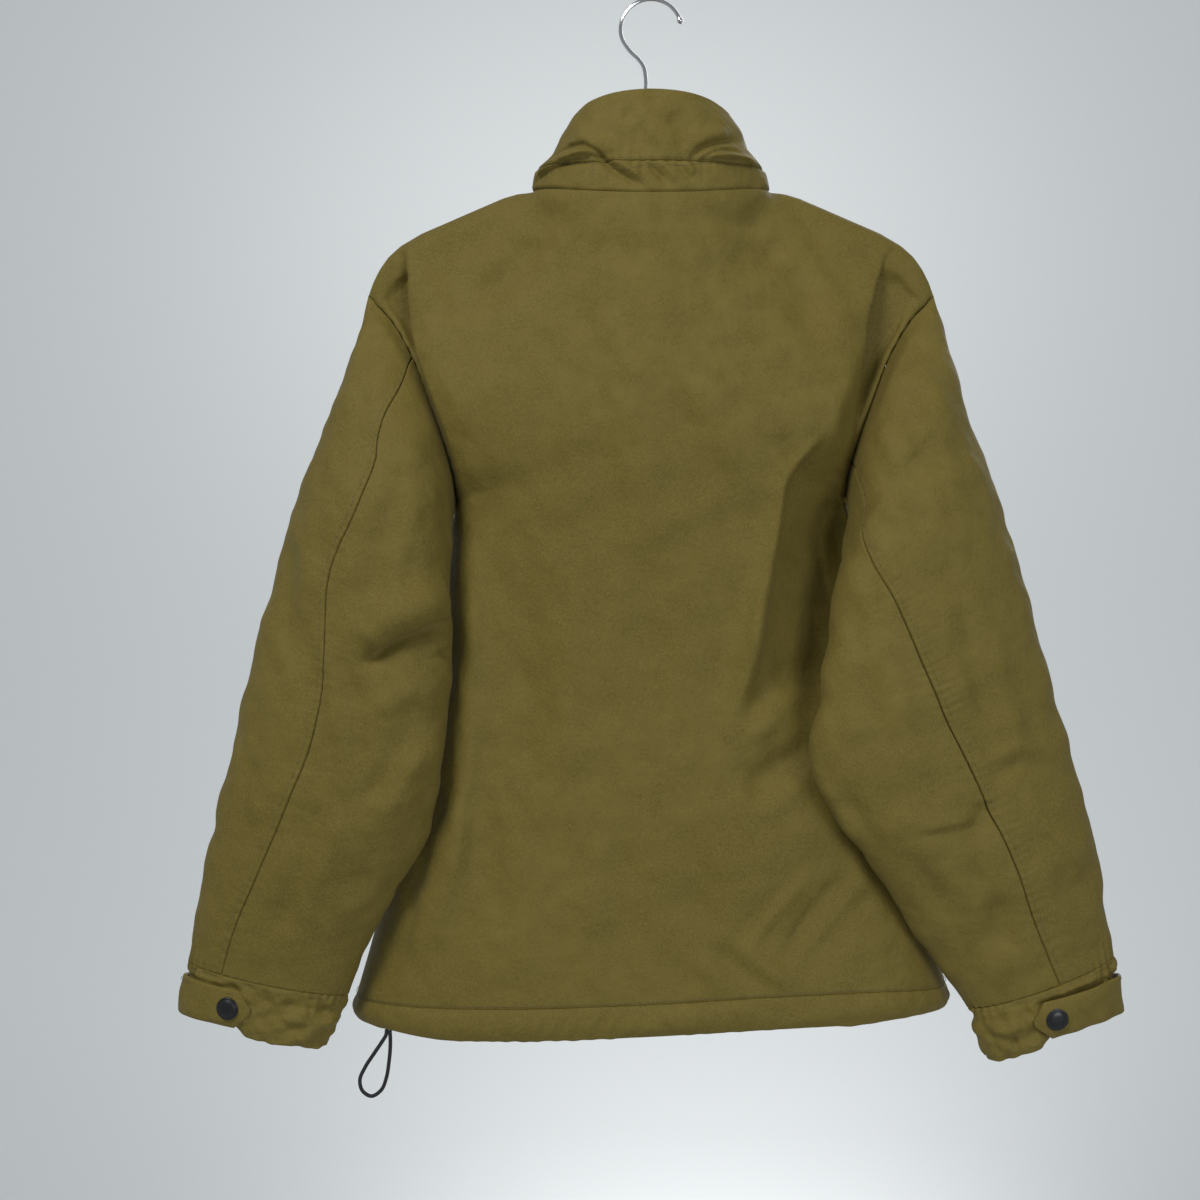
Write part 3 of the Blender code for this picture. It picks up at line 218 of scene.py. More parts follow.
# The largest folds. Each is (height, reach, line of x and z): raised if above zero, and reach is half its width.
BACK_FOLDS = [
    # Beside the wearer's left sleeve the back ends in a ridge and turns in; above it a valley runs to the armhole.
    (12, 14, [(152, -385), (143, -448), (143, -510), (146, -602), (157, -687), (175, -748), (190, -775)]),
    (-9, 14, [(212, -225), (199, -252), (187, -290)]),
    # The right sleeve drags a deep hollow down across the back, with a ridge along its inner side.
    (-13, 15, [(-210, -222), (-190, -255), (-177, -300), (-166, -360)]),
    (-25, 26, [(-160, -375), (-150, -420), (-142, -470), (-134, -530), (-122, -590)]),
    (7, 15, [(-134, -350), (-106, -392), (-99, -440), (-86, -495), (-70, -560)]),
    (-7, 15, [(-169, -695), (-144, -719), (-119, -748), (-101, -778)]),
    (-5, 15, [(-132, -683), (-88, -727), (-66, -768)]),
    (-6, 17, [(-119, -600), (-96, -614), (-70, -632)]),
]
FRONT_FOLDS = [
    (-9, 16, [(203, -240), (186, -285), (176, -340), (168, -400)]),
    (-11, 16, [(-204, -236), (-188, -280), (-178, -340), (-168, -400)]),
    (-9, 22, [(150, -420), (128, -500), (112, -600)]),
    (-7, 20, [(-148, -430), (-120, -520), (-108, -630)]),
    (5, 20, [(176, -560), (150, -650), (142, -750)]),
]
SLEEVE_FOLDS = {
    1: [
        (-9, 12, [(152, -499), (172, -499), (190, -508), (208, -520), (224, -535)]),
        (5, 12, [(156, -478), (178, -478), (198, -487), (214, -500)]),
        (-5, 14, [(283, -446), (281, -485), (264, -540), (257, -575)]),
        (5, 14, [(168, -585), (186, -622), (214, -655)]),
        (-5, 14, [(196, -684), (226, -700), (248, -704)]),
    ],
    -1: [
        (-5, 14, [(-222, -655), (-246, -652), (-252, -628)]),
        (5, 14, [(-170, -646), (-196, -668), (-222, -676)]),
        (-5, 13, [(-262, -702), (-263, -752)]),
        (4, 14, [(-303, -660), (-336, -692)]),
    ],
}
# The drawcord's loop, from where it leaves the casing to where it goes back in: x, how far out, and z.
CORD_ROUTE = [
    (208.5, 0.0, 0.0), (208.8, 0.4, -4.0), (210.5, 2.6, -9.0), (217.0, 3.2, -20.0), (225.0, 1.8, -32.0),
    (229.5, 0.6, -42.0), (228.0, 0.0, -50.0), (221.0, -0.4, -54.0), (214.0, -0.6, -49.0), (209.5, -1.0, -38.0),
    (207.5, -1.2, -26.0), (206.3, -1.2, -14.0), (205.2, -0.6, -6.0), (204.6, 0.0, 0.0),
]


def eased(at, knots, values):
    """A smooth line through a table's rows: cubic pieces whose slopes come from each row's neighbours."""
    at = np.clip(np.asarray(at, float), knots[0], knots[-1])
    slopes = np.gradient(values, knots)
    low = np.clip(np.searchsorted(knots, at, side="right") - 1, 0, len(knots) - 2)
    step = knots[low + 1] - knots[low]
    t = (at - knots[low]) / step
    return (
        (2 * t**3 - 3 * t**2 + 1) * values[low]
        + (t**3 - 2 * t**2 + t) * step * slopes[low]
        + (3 * t**2 - 2 * t**3) * values[low + 1]
        + (t**3 - t**2) * step * slopes[low + 1]
    )


def read(rows, column, at):
    """One column of a table at given places along its first column."""
    first = next(iter(rows))
    return eased(at, rows[first], rows[column])


def smooth(t):
    """0 to 1 with level ends."""
    t = np.clip(t, 0, 1)
    return t * t * (3 - 2 * t)


def unit(vectors):
    """Vectors of length 1 along the last axis."""
    vectors = np.asarray(vectors, float)
    return vectors / np.maximum(np.linalg.norm(vectors, axis=-1, keepdims=True), 1e-12)


def beside_line(line, x, z):
    """How far each place is from a line of x and z in millimetres, on its left above zero, and its share from the
    line's nearer end."""
    points = np.array(line, float) * MM
    steps = np.diff(points, axis=0)
    lengths = np.linalg.norm(steps, axis=1)
    starts = np.concatenate([[0], np.cumsum(lengths)])
    shape = np.broadcast(x, z).shape
    nearest, signed, along = np.full(shape, np.inf), np.zeros(shape), np.zeros(shape)
    for start, step, length, before in zip(points, steps, lengths, starts):
        off_x, off_z = x - start[0], z - start[1]
        t = np.clip((off_x * step[0] + off_z * step[1]) / length**2, 0, 1)
        away = np.hypot(off_x - t * step[0], off_z - t * step[1])
        closer = away < nearest
        nearest = np.where(closer, away, nearest)
        signed = np.where(closer, away * np.sign(step[0] * off_z - step[1] * off_x), signed)
        along = np.where(closer, before + t * length, along)
    return nearest, signed, np.minimum(along, starts[-1] - along) / starts[-1]


def fold_heights(folds, x, z):
    """The sum of the folds at each place: a bell across each line, fading out over its ends."""
    total = np.zeros(np.broadcast(x, z).shape)
    for height, reach, line in folds:
        nearest, _, from_end = beside_line(line, x, z)
        fade = FOLD_END_HEIGHT + (1 - FOLD_END_HEIGHT) * smooth(from_end / FOLD_FADE)
        total += height * MM * np.exp(-((nearest / (reach * MM)) ** 2)) * fade
    return total


def laps(rows, x, z):
    """The sum of laps: each stands up on one side of its line, on the left hand as one walks it with x to the right
    and z up, falls away there over its reach, and drops to nothing across its line over its edge."""
    total = np.zeros(np.broadcast(x, z).shape)
    for height, reach, edge, line in rows:
        nearest, signed, from_end = beside_line(line, x, z)
        beyond = smooth(1.5 - nearest / (2.5 * reach * MM))
        shape = smooth(0.5 + signed / (edge * MM)) * np.exp(-((np.maximum(signed, 0) / (reach * MM)) ** 2))
        total += height * MM * shape * smooth(from_end / LAP_FADE) * beyond
    return total


def hem_z(x):
    """Height of the hem seam."""
    return read(HEM_SEAM, "z", np.asarray(x) / MM)


def casing_drop(x, share):
    """How far below the hem seam the casing is, a share of the way down it: less towards its two sides."""
    corner = (np.abs(x) - HEM_CORNER_STARTS) / (HEM_CORNER_ENDS - HEM_CORNER_STARTS)
    return share * (HEM_BAND - HEM_CORNER * smooth(corner))


def neck_bow(x):
    """0 at the side of the neck and 1 at its middle, along a half ellipse."""
    return np.sqrt(np.clip(1 - (np.abs(x) / NECK_HALF_WIDTH) ** 2, 0, 1))


def top_z(x, back):
    """Height of the top edge of the body: shoulder line, and neckline inside it."""
    bow = neck_bow(x)
    drop = NECK_BACK_DROP * bow**2 if back else NECK_FRONT_DROP * bow**NECK_FRONT_CURVE
    return np.interp(np.abs(x), *SHOULDER.T) - drop


def soft_top_y(x, below, back):
    """How far the top edge stands from the hanger's plane: nothing on the shoulder, the neck's bow inside it.

    Further below the edge the bow is blurred along x, so that its corners leave no upright line in the cloth.
    """
    wide = np.clip(NECK_BLUR * below, 0, NECK_BLUR_MOST)
    places = np.linspace(-1, 1, 25)
    weights = np.cos(places * math.pi / 2) ** 2
    soft = sum(w * neck_bow(x + wide * t) for t, w in zip(places, weights)) / weights.sum()
    return soft * (NECK_BACK_Y if back else NECK_FRONT_Y)


def edge_half_width(level):
    """Half the width of the body at a level: to the side seam, or above the underarm to the armhole."""
    low = read(SIDE, "half_width", np.minimum(level, UNDERARM_LEVEL))
    high = read(ARMHOLE, "half_width", np.maximum(level, UNDERARM_LEVEL))
    return np.where(level < UNDERARM_LEVEL, low, high)


def edge_y(level, back):
    """Where the side seam and the armhole lie between front and back."""
    low = read(SIDE, "y", np.minimum(level, UNDERARM_LEVEL))
    high = read(ARMHOLE, "back_y" if back else "front_y", np.maximum(level, UNDERARM_LEVEL))
    return np.where(level < UNDERARM_LEVEL, low, high)


def body(across, level, back):
    """A point of the body's outer surface. Across runs from -1 at the right edge to 1 at the left one.

    Each level is half of a squared-off oval from edge to edge. Near the top its depth shrinks to the shoulder
    line, quickly over the hanger's round and then slowly, and the folds move it in and out.
    """
    across, level = np.broadcast_arrays(np.asarray(across, float), np.asarray(level, float))
    turn = across * math.pi / 2
    power = 2 / read(SQUARE, "back" if back else "front", level)
    reach = np.sign(turn) * np.abs(np.sin(turn)) ** power
    bulge = np.clip(np.cos(turn), 0, 1) ** power
    x = edge_half_width(level) * reach
    z = hem_z(x) + (top_z(x, back) - hem_z(x)) * level
    edge = edge_y(level, back)
    section = edge + (read(DEPTH, "back" if back else "front", level) - edge) * bulge
    below = top_z(x, back) - z
    quick = np.sqrt(1 - (1 - np.clip(below / SHOULDER_ROUND, 0, 1)) ** 2)
    rise = SHOULDER_QUICK * quick + (1 - SHOULDER_QUICK) * smooth(below / SHOULDER_FALL)
    top = soft_top_y(x, below, back)
    y = top + (section - top) * rise
    from_edge = edge_half_width(level) * (1 - np.abs(reach))
    held = smooth(from_edge / FOLDS_START) * smooth(below / FOLDS_START) * smooth(level / 0.03)
    folds = fold_heights(BACK_FOLDS if back else FRONT_FOLDS, x, z) * held
    return np.stack([x, y + (folds if back else -folds), z], axis=-1)


def place_at(x, level, back=False):
    """The place across the body at which a level has a given x."""
    reach = np.clip(x / edge_half_width(level), 0, 1)
    return np.arcsin(reach ** (read(SQUARE, "back" if back else "front", level) / 2)) * 2 / math.pi


def armhole_level(turn):
    """The body's level at a turn round the armhole: 1 at the shoulder, the underarm's half a turn on."""
    return UNDERARM_LEVEL + (1 - UNDERARM_LEVEL) * (1 + np.cos(turn)) / 2


def armhole(turn, side):
    """The armhole's loop. Its back half has turns from 0 to pi, its front half from 0 to -pi."""
    level = armhole_level(turn)
    ends = np.ones_like(level) * side
    behind = (np.sin(turn) >= 0)[..., None]
    return np.where(behind, body(ends, level, True), body(ends, level, False))


def oval(side, share, turn):
    """A sleeve's section: an oval between its outer and inner edge lines, half_depth thick each way."""
    rows = SLEEVES[side]

    def edge_line(edge, at):
        places = [side * read(rows, edge + "_x", at), read(rows, edge + "_y", at), read(rows, edge + "_z", at)]
        return np.stack(places, -1)

    outer, inner = edge_line("outer", share), edge_line("inner", share)
    half = (outer - inner) / 2
    step = 0.01
    ahead = edge_line("outer", share + step) + edge_line("inner", share + step)
    behind = edge_line("outer", share - step) + edge_line("inner", share - step)
    depth_way = unit(np.cross(half, ahead - behind))
    depth_way = depth_way * np.sign(depth_way[..., 1:2]) * read(rows, "half_depth", share)[..., None]
    return (outer + inner) / 2 + np.cos(turn)[..., None] * half + np.sin(turn)[..., None] * depth_way


def sleeve_middle(side, share):
    """The middle line of a sleeve."""
    share = np.asarray(share, float)
    opposite = oval(side, share, np.zeros_like(share)) + oval(side, share, np.full_like(share, math.pi))
    return opposite / 2


def sleeve(side, share, turn):
    """A point of a sleeve's outer surface. It starts on the armhole's own loop and eases into the ovals."""
    share, turn = np.broadcast_arrays(np.asarray(share, float), np.asarray(turn, float))
    points = oval(side, share, turn)
    start = oval(side, np.zeros_like(share), turn)
    points = points + (armhole(turn, side) - start) * (1 - smooth(share / ARMHOLE_REACH))[..., None]
    facing = smooth(np.sin(turn) * 2.2 + 0.25) * smooth(share / 0.15) * smooth((1 - share) / 0.05)
    height = fold_heights(SLEEVE_FOLDS[side], points[..., 0], points[..., 2]) * facing
    return points + height[..., None] * unit(points - sleeve_middle(side, share))


def seam_turn(side, share):
    """The turn at which the back seam of a sleeve lies."""
    return np.radians(read(SLEEVE_SEAMS[side], "turn", share))


def cuff(side, drop, turn):
    """A point of a cuff: the sleeve's last section, carried down with the arm and drawn in a little."""
    drop, turn = np.broadcast_arrays(np.asarray(drop, float), np.asarray(turn, float))
    end = sleeve(side, np.ones_like(drop), turn)
    middle = sleeve_middle(side, 1.0)
    spoke = end - middle
    along = drop / CUFF
    narrow = spoke * (1 - CUFF_NARROWS * along)[..., None]
    belly = (CUFF_BELLY * np.sin(math.pi * np.clip(along, 0, 1)))[..., None] * unit(spoke)
    return middle + narrow + belly + drop[..., None] * cuff_axis(side)


def cuff_axis(side):
    """The way a cuff hangs."""
    return unit([side * CUFF_SWING, 0, -1])


def collar(turn, share):
    """A point of the collar's outer surface, on a ring that is wider than deep and lower at the front."""
    turn, share = np.broadcast_arrays(np.asarray(turn, float), np.asarray(share, float))
    back = np.sin(turn) >= 0
    bow = np.abs(np.sin(turn))
    x = read(COLLAR, "half_width", share) * np.cos(turn)
    y = np.where(back, read(COLLAR, "back_y", share), read(COLLAR, "front_y", share)) * bow
    side_z = read(COLLAR, "side_z", share)
    arch_back = bow**2 + share * COLLAR_TOP_FLATTER * (bow - bow**2)
    drop_back = (read(COLLAR, "back_z", share) - side_z) * arch_back
    curve_front = NECK_FRONT_CURVE - share * COLLAR_TOP_STRAIGHTER
    drop_front = (read(COLLAR, "front_z", share) - side_z) * bow**curve_front
    return np.stack([x, y, side_z + np.where(back, drop_back, drop_front)], axis=-1)


def normals(surface, u, v, low, high, step=0.004):
    """Square to a surface at each place, from points a small step away either side, kept within its ends."""
    u, v = np.broadcast_arrays(u, v)
    along_u = surface(np.minimum(u + step, high[0]), v) - surface(np.maximum(u - step, low[0]), v)
    along_v = surface(u, np.minimum(v + step, high[1])) - surface(u, np.maximum(v - step, low[1]))
    return unit(np.cross(along_u, along_v))


def body_levels():
    """The rows of the body: even up to the underarm, and then those of the armhole's ring."""
    ring = armhole_level(np.radians(np.arange(RING_STEPS // 2, -1, -1) * RING_STEP))
    return np.concatenate([np.linspace(0, UNDERARM_LEVEL, 13)[:-1], ring])


def neck_out(turn):
    """The way out of the body and the collar along the neck seam."""
    return unit(np.stack([np.cos(turn), np.sin(turn), 0.7 * np.abs(np.cos(turn))], -1))


# The strap on each cuff: where it starts and ends round the cuff, in degrees, and how far down its middle is.
TABS = {
    1: {"start": -45, "tip": 86.5, "drop_start": 26 * MM, "drop_tip": 22 * MM},
    -1: {"start": -45, "tip": 107, "drop_start": 33 * MM, "drop_tip": 21 * MM},
}


def tab_point(side, turn, offset):
    """The middle line of a strap on its cuff, moved out by an offset, and the way out there."""
    tab = TABS[side]
    start, tip = math.radians(tab["start"]), math.radians(tab["tip"])
    along = (turn - start) / (tip - start)
    drop = tab["drop_start"] + (tab["drop_tip"] - tab["drop_start"]) * along
    point = cuff(side, drop, turn)
    out = normals(lambda u, v: cuff(side, v, u), turn, drop, (-9, 0), (9, CUFF), 0.002)
    spoke = point - sleeve_middle(side, 1.0)
    out = out * np.sign((out * spoke).sum(-1, keepdims=True))
    return point + out * offset, out


# The casing's rows: the share of the way down, and how far it stands out from the hem's line.
HEM_ROWS = table("share out", [(0.0, 0.0), (0.25, 2.0), (0.7, 2.2), (1.0, -0.8)])


def collar_way(turn, share):
    """Square to the collar's surface, outwards; along the neck seam it is the body's own way out."""
    way = normals(collar, turn, share, (-9, 0), (9, 1))
    point = collar(turn, share)
    way = way * np.sign((way[..., :2] * point[..., :2]).sum(-1, keepdims=True))
    return np.where(np.asarray(share)[..., None] < 1e-9, neck_out(turn), way)


def front_strip(x, inset):
    """Points down the front at each x: through the casing, the fronts and the collar, a set way inside."""
    x, inset = np.broadcast_arrays(np.asarray(x, float), inset)
    inward = np.stack([np.zeros_like(x), inset, np.zeros_like(x)], -1)
    side = np.sign(x)
    rows = []
    for share, push in list(zip(HEM_ROWS["share"], HEM_ROWS["out"]))[::-1]:
        row = body(place_at(np.abs(x), 0.0) * side, 0.0, False)
        rows.append(row + inward - [0, push, casing_drop(0, share)])
    for level in body_levels()[1:-1]:
        rows.append(body(place_at(np.abs(x), level) * side, level, False) + inward)
    shares = np.concatenate([np.linspace(0, STAND_SHARE, 4), np.linspace(STAND_SHARE, ZIP_TOP_SHARE, 7)[1:]])
    for share in shares:
        turn = -np.arccos(x / float(read(COLLAR, "half_width", share)))
        rows.append(collar(turn, share) - inset[:, None] * collar_way(turn, np.full_like(turn, share)))
    return np.stack(rows)


def smooth_route(points, count):
    """Evenly spaced points on a smooth curve through a route's own points."""
    points = np.asarray(points, float)
    length = np.concatenate([[0], np.cumsum(np.linalg.norm(np.diff(points, axis=0), axis=1))])
    fine = np.linspace(0, length[-1], 40 * len(points))
    curve = np.stack([eased(fine, length, column) for column in points.T], -1)
    along = np.concatenate([[0], np.cumsum(np.linalg.norm(np.diff(curve, axis=0), axis=1))])
    even = np.linspace(0, along[-1], count)
    return np.stack([np.interp(even, along, column) for column in curve.T], -1)


def hanger_line():
    """The hanger bar's middle line: level under the neck's sides, arched inside them, and under the shoulders."""
    x = np.linspace(-HANGER_REACH, HANGER_REACH, 25)
    under = np.interp(np.abs(x), *SHOULDER.T) - HANGER_UNDER
    at_neck = SHOULDER[0, 1] - HANGER_UNDER
    arched = HANGER_CROWN_Z + (at_neck - HANGER_CROWN_Z) * (np.abs(x) / HANGER_NECK) ** 1.3
    return np.stack([x, np.zeros_like(x), np.where(np.abs(x) < HANGER_NECK, arched, under)], -1)


# Creases that the solids leave out, as (height, reach, line of x and z) in millimetres; below zero is a hollow.
BACK_CREASES = [
    (3, 7, [(169, -665), (172, -700), (182, -744), (195, -768)]),
    (4, 9, [(-120, -362), (-113, -377), (-104, -394), (-100, -421), (-93, -452), (-85, -490),
            (-79, -527), (-66, -575)]),
    (-3.5, 7, [(-128, -366), (-122, -384), (-116, -402), (-112, -430)]),
    (2.5, 5, [(-107, -388), (-98, -375), (-90, -360)]),
    (-2.2, 5, [(-112, -372), (-104, -362), (-100, -350)]),
    (2.5, 5, [(-107, -387), (-133, -350)]),
    (2, 5, [(-105, -385), (-103, -417)]),
    (-3, 9, [(-122, -521), (-96, -545), (-71, -567)]),
    (3.5, 9, [(-119, -548), (-90, -572), (-64, -592)]),
    (-4, 9, [(-121, -590), (-98, -608), (-72, -625)]),
    (2.5, 8, [(-122, -618), (-100, -634), (-76, -648)]),
    (-1.5, 7, [(6, -597), (7, -612), (9, -626)]),
    (-2, 9, [(-18, -604), (-42, -620), (-63, -640)]),
    (-1.8, 9, [(-9, -700), (-36, -716), (-63, -737)]),
    (4.5, 8, [(-172, -688), (-144, -719), (-119, -748), (-100, -776)]),
    (3, 8, [(-60, -742), (-86, -760), (-110, -782)]),
    (-3, 7, [(-44, -744), (-68, -762), (-90, -784)]),
    (3, 7, [(-24, -748), (-44, -766), (-62, -786)]),
    (-4, 7, [(-150, -690), (-122, -722), (-100, -752)]),
    (3.5, 8, [(-131, -683), (-88, -727), (-65, -764)]),
    (-4.5, 17, [(62, -230), (48, -290), (41, -364), (33, -448)]),
    (-3.6, 16, [(8, -430), (2, -500), (1, -576)]),
    (-3.6, 17, [(86, -250), (84, -330), (75, -400)]),
    (3.4, 17, [(22, -250), (14, -330), (6, -400), (-8, -440)]),
    (-3.4, 13, [(-10, -300), (-30, -360), (-52, -400), (-74, -450)]),
    (3.1, 13, [(-30, -300), (-52, -345), (-76, -390)]),
    (-3.1, 14, [(-60, -470), (-50, -520), (-42, -580)]),
    (3.1, 15, [(60, -470), (66, -560), (70, -640)]),
    (-3.4, 16, [(96, -440), (100, -540), (98, -640)]),
    (-2.8, 13, [(20, -640), (28, -700), (24, -760)]),
    (-3.1, 12, [(-20, -650), (-36, -690), (-40, -740)]),
    (-2.4, 8, [(-36, -178), (-55, -186), (-78, -184), (-96, -190)]),
    (-2.4, 8, [(124, -192), (104, -206), (84, -204)]),
    (-3.6, 12, [(-96, -210), (-120, -240), (-132, -290)]),
    (2.8, 12, [(-120, -205), (-140, -240), (-148, -290)]),
    (2.5, 10, [(192, -240), (180, -300), (172, -350), (160, -395)]),
    (-3.5, 6, [(-195, -198), (-190, -216), (-185, -234), (-180, -254), (-174, -280)]),
    (5, 7, [(-206, -214), (-201, -236), (-192, -262), (-184, -290)]),
    (2.2, 14, [(118, -640), (100, -700), (92, -750)]),
    (-2.2, 14, [(140, -600), (132, -670), (120, -730)]),
    (2, 12, [(30, -650), (44, -700), (40, -750)]),
    (3.2, 12, [(96, -176), (120, -204), (146, -228)]),
    (-3.4, 12, [(78, -182), (106, -216), (136, -248)]),
    (3, 13, [(10, -176), (-6, -226), (-16, -276)]),
    (-3.4, 12, [(-66, -172), (-84, -196), (-106, -218)]),
    (3, 12, [(-36, -180), (-58, -222), (-84, -262)]),
]
FRONT_CREASES = [
    (3, 9, [(-110, -362), (-100, -394), (-90, -452), (-74, -527)]),
    (-3, 9, [(-128, -420), (-112, -470), (-96, -540)]),
    (3, 9, [(124, -380), (112, -430), (96, -500), (84, -560)]),
    (-3, 9, [(140, -440), (126, -500), (106, -566)]),
    (-2.5, 9, [(120, -600), (92, -628), (62, -640)]),
    (2.5, 9, [(-124, -612), (-96, -640), (-64, -660)]),
    (3, 9, [(150, -680), (122, -720), (104, -762)]),
    (-2.5, 8, [(-146, -672), (-118, -716), (-100, -758)]),
    (-2, 16, [(60, -290), (56, -360), (46, -440)]),
    (-2, 16, [(-62, -286), (-52, -360), (-46, -430)]),
    (2, 12, [(40, -520), (48, -600), (40, -680)]),
    (2, 12, [(-36, -470), (-44, -540), (-36, -620)]),
    (-2, 9, [(150, -230), (120, -250), (90, -252)]),
    (-2, 9, [(-150, -228), (-122, -246), (-92, -250)]),
]
SLEEVE_BACK_CREASES = {
    1: [
        (-3.5, 5, [(158, -499), (176, -501), (192, -507.5), (207, -516), (222, -530)]),
        (3, 7, [(157, -480), (185, -487), (208, -498), (228, -514)]),
        (-3, 4, [(152, -521), (163, -518), (176, -523)]),
        (3, 9, [(176, -546), (196, -552), (212, -566)]),
        (3, 8, [(170, -585), (187, -618), (206, -648)]),
        (-2.5, 8, [(186, -580), (206, -612), (224, -640)]),
        (-2.5, 7, [(238, -517), (228, -555), (219, -608)]),
        (2, 7, [(250, -530), (242, -570), (232, -620)]),
        (-2.5, 7, [(196, -694), (212, -712), (226, -728)]),
        (2, 8, [(264, -403), (269, -440), (270, -482)]),
        (-2, 8, [(278, -430), (282, -480), (284, -530)]),
        (2, 9, [(206, -380), (229, -433), (240, -482)]),
        (-2.2, 8, [(190, -380), (208, -440), (216, -486)]),
        (2, 8, [(176, -390), (190, -440), (198, -480)]),
        (2.2, 9, [(231, -631), (252, -684), (272, -732)]),
        (-2, 8, [(252, -640), (272, -696), (290, -745)]),
        (2, 8, [(276, -646), (296, -707), (314, -750)]),
        (-1.8, 8, [(214, -270), (222, -310), (236, -366)]),
        (-1.8, 7, [(300, -560), (312, -610), (320, -660)]),
    ],
    -1: [
        (3, 8, [(-123, -614), (-138, -640), (-158, -668)]),
        (-2.5, 8, [(-140, -622), (-158, -650), (-178, -676)]),
        (2.5, 9, [(-172, -509), (-187, -560), (-200, -620)]),
        (-2.2, 8, [(-150, -490), (-164, -555), (-180, -612)]),
        (-2.5, 8, [(-236, -479), (-250, -550), (-262, -612)]),
        (2, 8, [(-252, -470), (-268, -540), (-282, -610)]),
        (-2.5, 7, [(-252, -618), (-282, -604), (-308, -610)]),
        (2.5, 7, [(-250, -604), (-282, -590), (-306, -597)]),
        (2, 9, [(-210, -290), (-224, -342), (-236, -410)]),
        (-2, 8, [(-192, -300), (-200, -350), (-206, -410)]),
        (2.5, 8, [(-210, -672), (-240, -706), (-260, -742)]),
        (-2.2, 8, [(-226, -668), (-256, -700), (-278, -740)]),
        (2, 8, [(-286, -669), (-306, -707), (-322, -740)]),
        (-2, 8, [(-300, -650), (-320, -690), (-336, -730)]),
        (-2.5, 8, [(-172, -654), (-206, -692), (-230, -732)]),
        (2, 7, [(-176, -430), (-186, -470), (-190, -500)]),
    ],
}


def mirrored(side, rows):
    """Rows for one side of the garment, from rows for the wearer's left."""
    return [(height, reach, [(side * x, z) for x, z in line]) for height, reach, line in rows]


SLEEVE_FRONT_CREASES = {
    side: mirrored(side, [
        (-5, 9, [(160, -480), (190, -500), (226, -520), (262, -524)]),
        (4, 10, [(160, -505), (196, -530), (240, -548)]),
        (-3.5, 9, [(168, -545), (206, -566), (250, -574)]),
        (-3, 10, [(196, -330), (206, -390), (204, -450)]),
        (3, 10, [(222, -320), (236, -390), (240, -460)]),
        (3, 10, [(214, -610), (244, -660), (262, -716)]),
        (-3, 9, [(250, -600), (280, -660), (300, -724)]),
        (2.5, 9, [(290, -560), (308, -620), (322, -690)]),
    ])
    for side in (1, -1)
}
# Laps, as (height, reach, edge, line): cloth that stands over a sharp line.
BACK_LAPS = [
    (-8, 40, 14, [(-58, -600), (-65, -584), (-70, -564), (-82, -527), (-87, -490), (-95, -452),
                  (-102, -420), (-104, -394), (-113, -377), (-140, -345)]),
    (-8, 42, 9, [(-93, -470), (-102, -420), (-104, -394), (-113, -377), (-140, -345)]),
    (8, 30, 3, [(160, -440), (167, -400), (173, -360), (179.5, -308), (187, -254), (193, -221),
                (199, -190), (207, -140)]),
    (-8, 22, 4, [(207, -140), (199, -190), (193, -221), (187, -254), (179.5, -308), (173, -360),
                 (167, -400), (160, -440)]),
    (-15, 24, 4, [(-150, -385), (-159, -353), (-167.5, -306), (-173, -269), (-179, -235),
                  (-187, -209), (-197, -190), (-208, -160), (-216, -125)]),
    (2.5, 12, 5, [(-60, -752), (-92, -716), (-122, -684)]),
]
FRONT_LAPS = [
    (5, 26, 5, [(-196, -225), (-182, -300), (-172, -370), (-160, -430)]),
    (5, 26, 5, [(160, -430), (172, -370), (182, -300), (196, -225)]),
]
SLEEVE_LAPS = {
    1: [
        (8.5, 26, 2.4, [(146, -490), (156, -493), (175, -493), (192, -500), (209, -511), (226, -528)]),
        (4, 10, 3, [(148, -508), (155, -513), (163, -519), (174, -526)]),
        (3, 12, 4, [(172, -592), (190, -622), (208, -652)]),
    ],
    -1: [
        (3.5, 14, 4, [(-256, -622), (-240, -648), (-206, -655), (-178, -640)]),
        (3, 12, 4, [(-332, -690), (-312, -668), (-292, -650)]),
    ],
}
CUFF_CREASES = {
    1: [
        (-2, 2.6, [(316, -774), (308, -780), (302, -788)]),
        (1.6, 4, [(300, -779), (280, -784), (256, -792)]),
        (-2, 3.4, [(302, -788), (272, -794), (246, -799)]),
        (1.8, 3.6, [(290, -800), (268, -806), (250, -808)]),
        (-2.2, 3, [(268, -820), (254, -816), (242, -809)]),
        (-1.8, 2.4, [(298, -778), (300, -794)]),
        (-1.8, 2.6, [(276, -780), (278, -792)]),
        (-3.5, 4, [(352, -764), (342, -768), (334, -771)]),
    ],
    -1: [
        (-2.4, 3, [(-274, -782), (-282, -790), (-290, -802)]),
        (2, 3.6, [(-268, -790), (-276, -800), (-284, -812)]),
        (-2.6, 2.8, [(-256, -813), (-268, -817), (-284, -821)]),
        (-2.2, 2.8, [(-280, -798), (-288, -807), (-298, -816)]),
        (2, 3, [(-254, -805), (-268, -809), (-282, -812)]),
        (-2.6, 2.2, [(-300, -770), (-302, -780)]),
        (-6, 4.5, [(-316, -775), (-332, -767), (-346, -759)]),
    ],
}
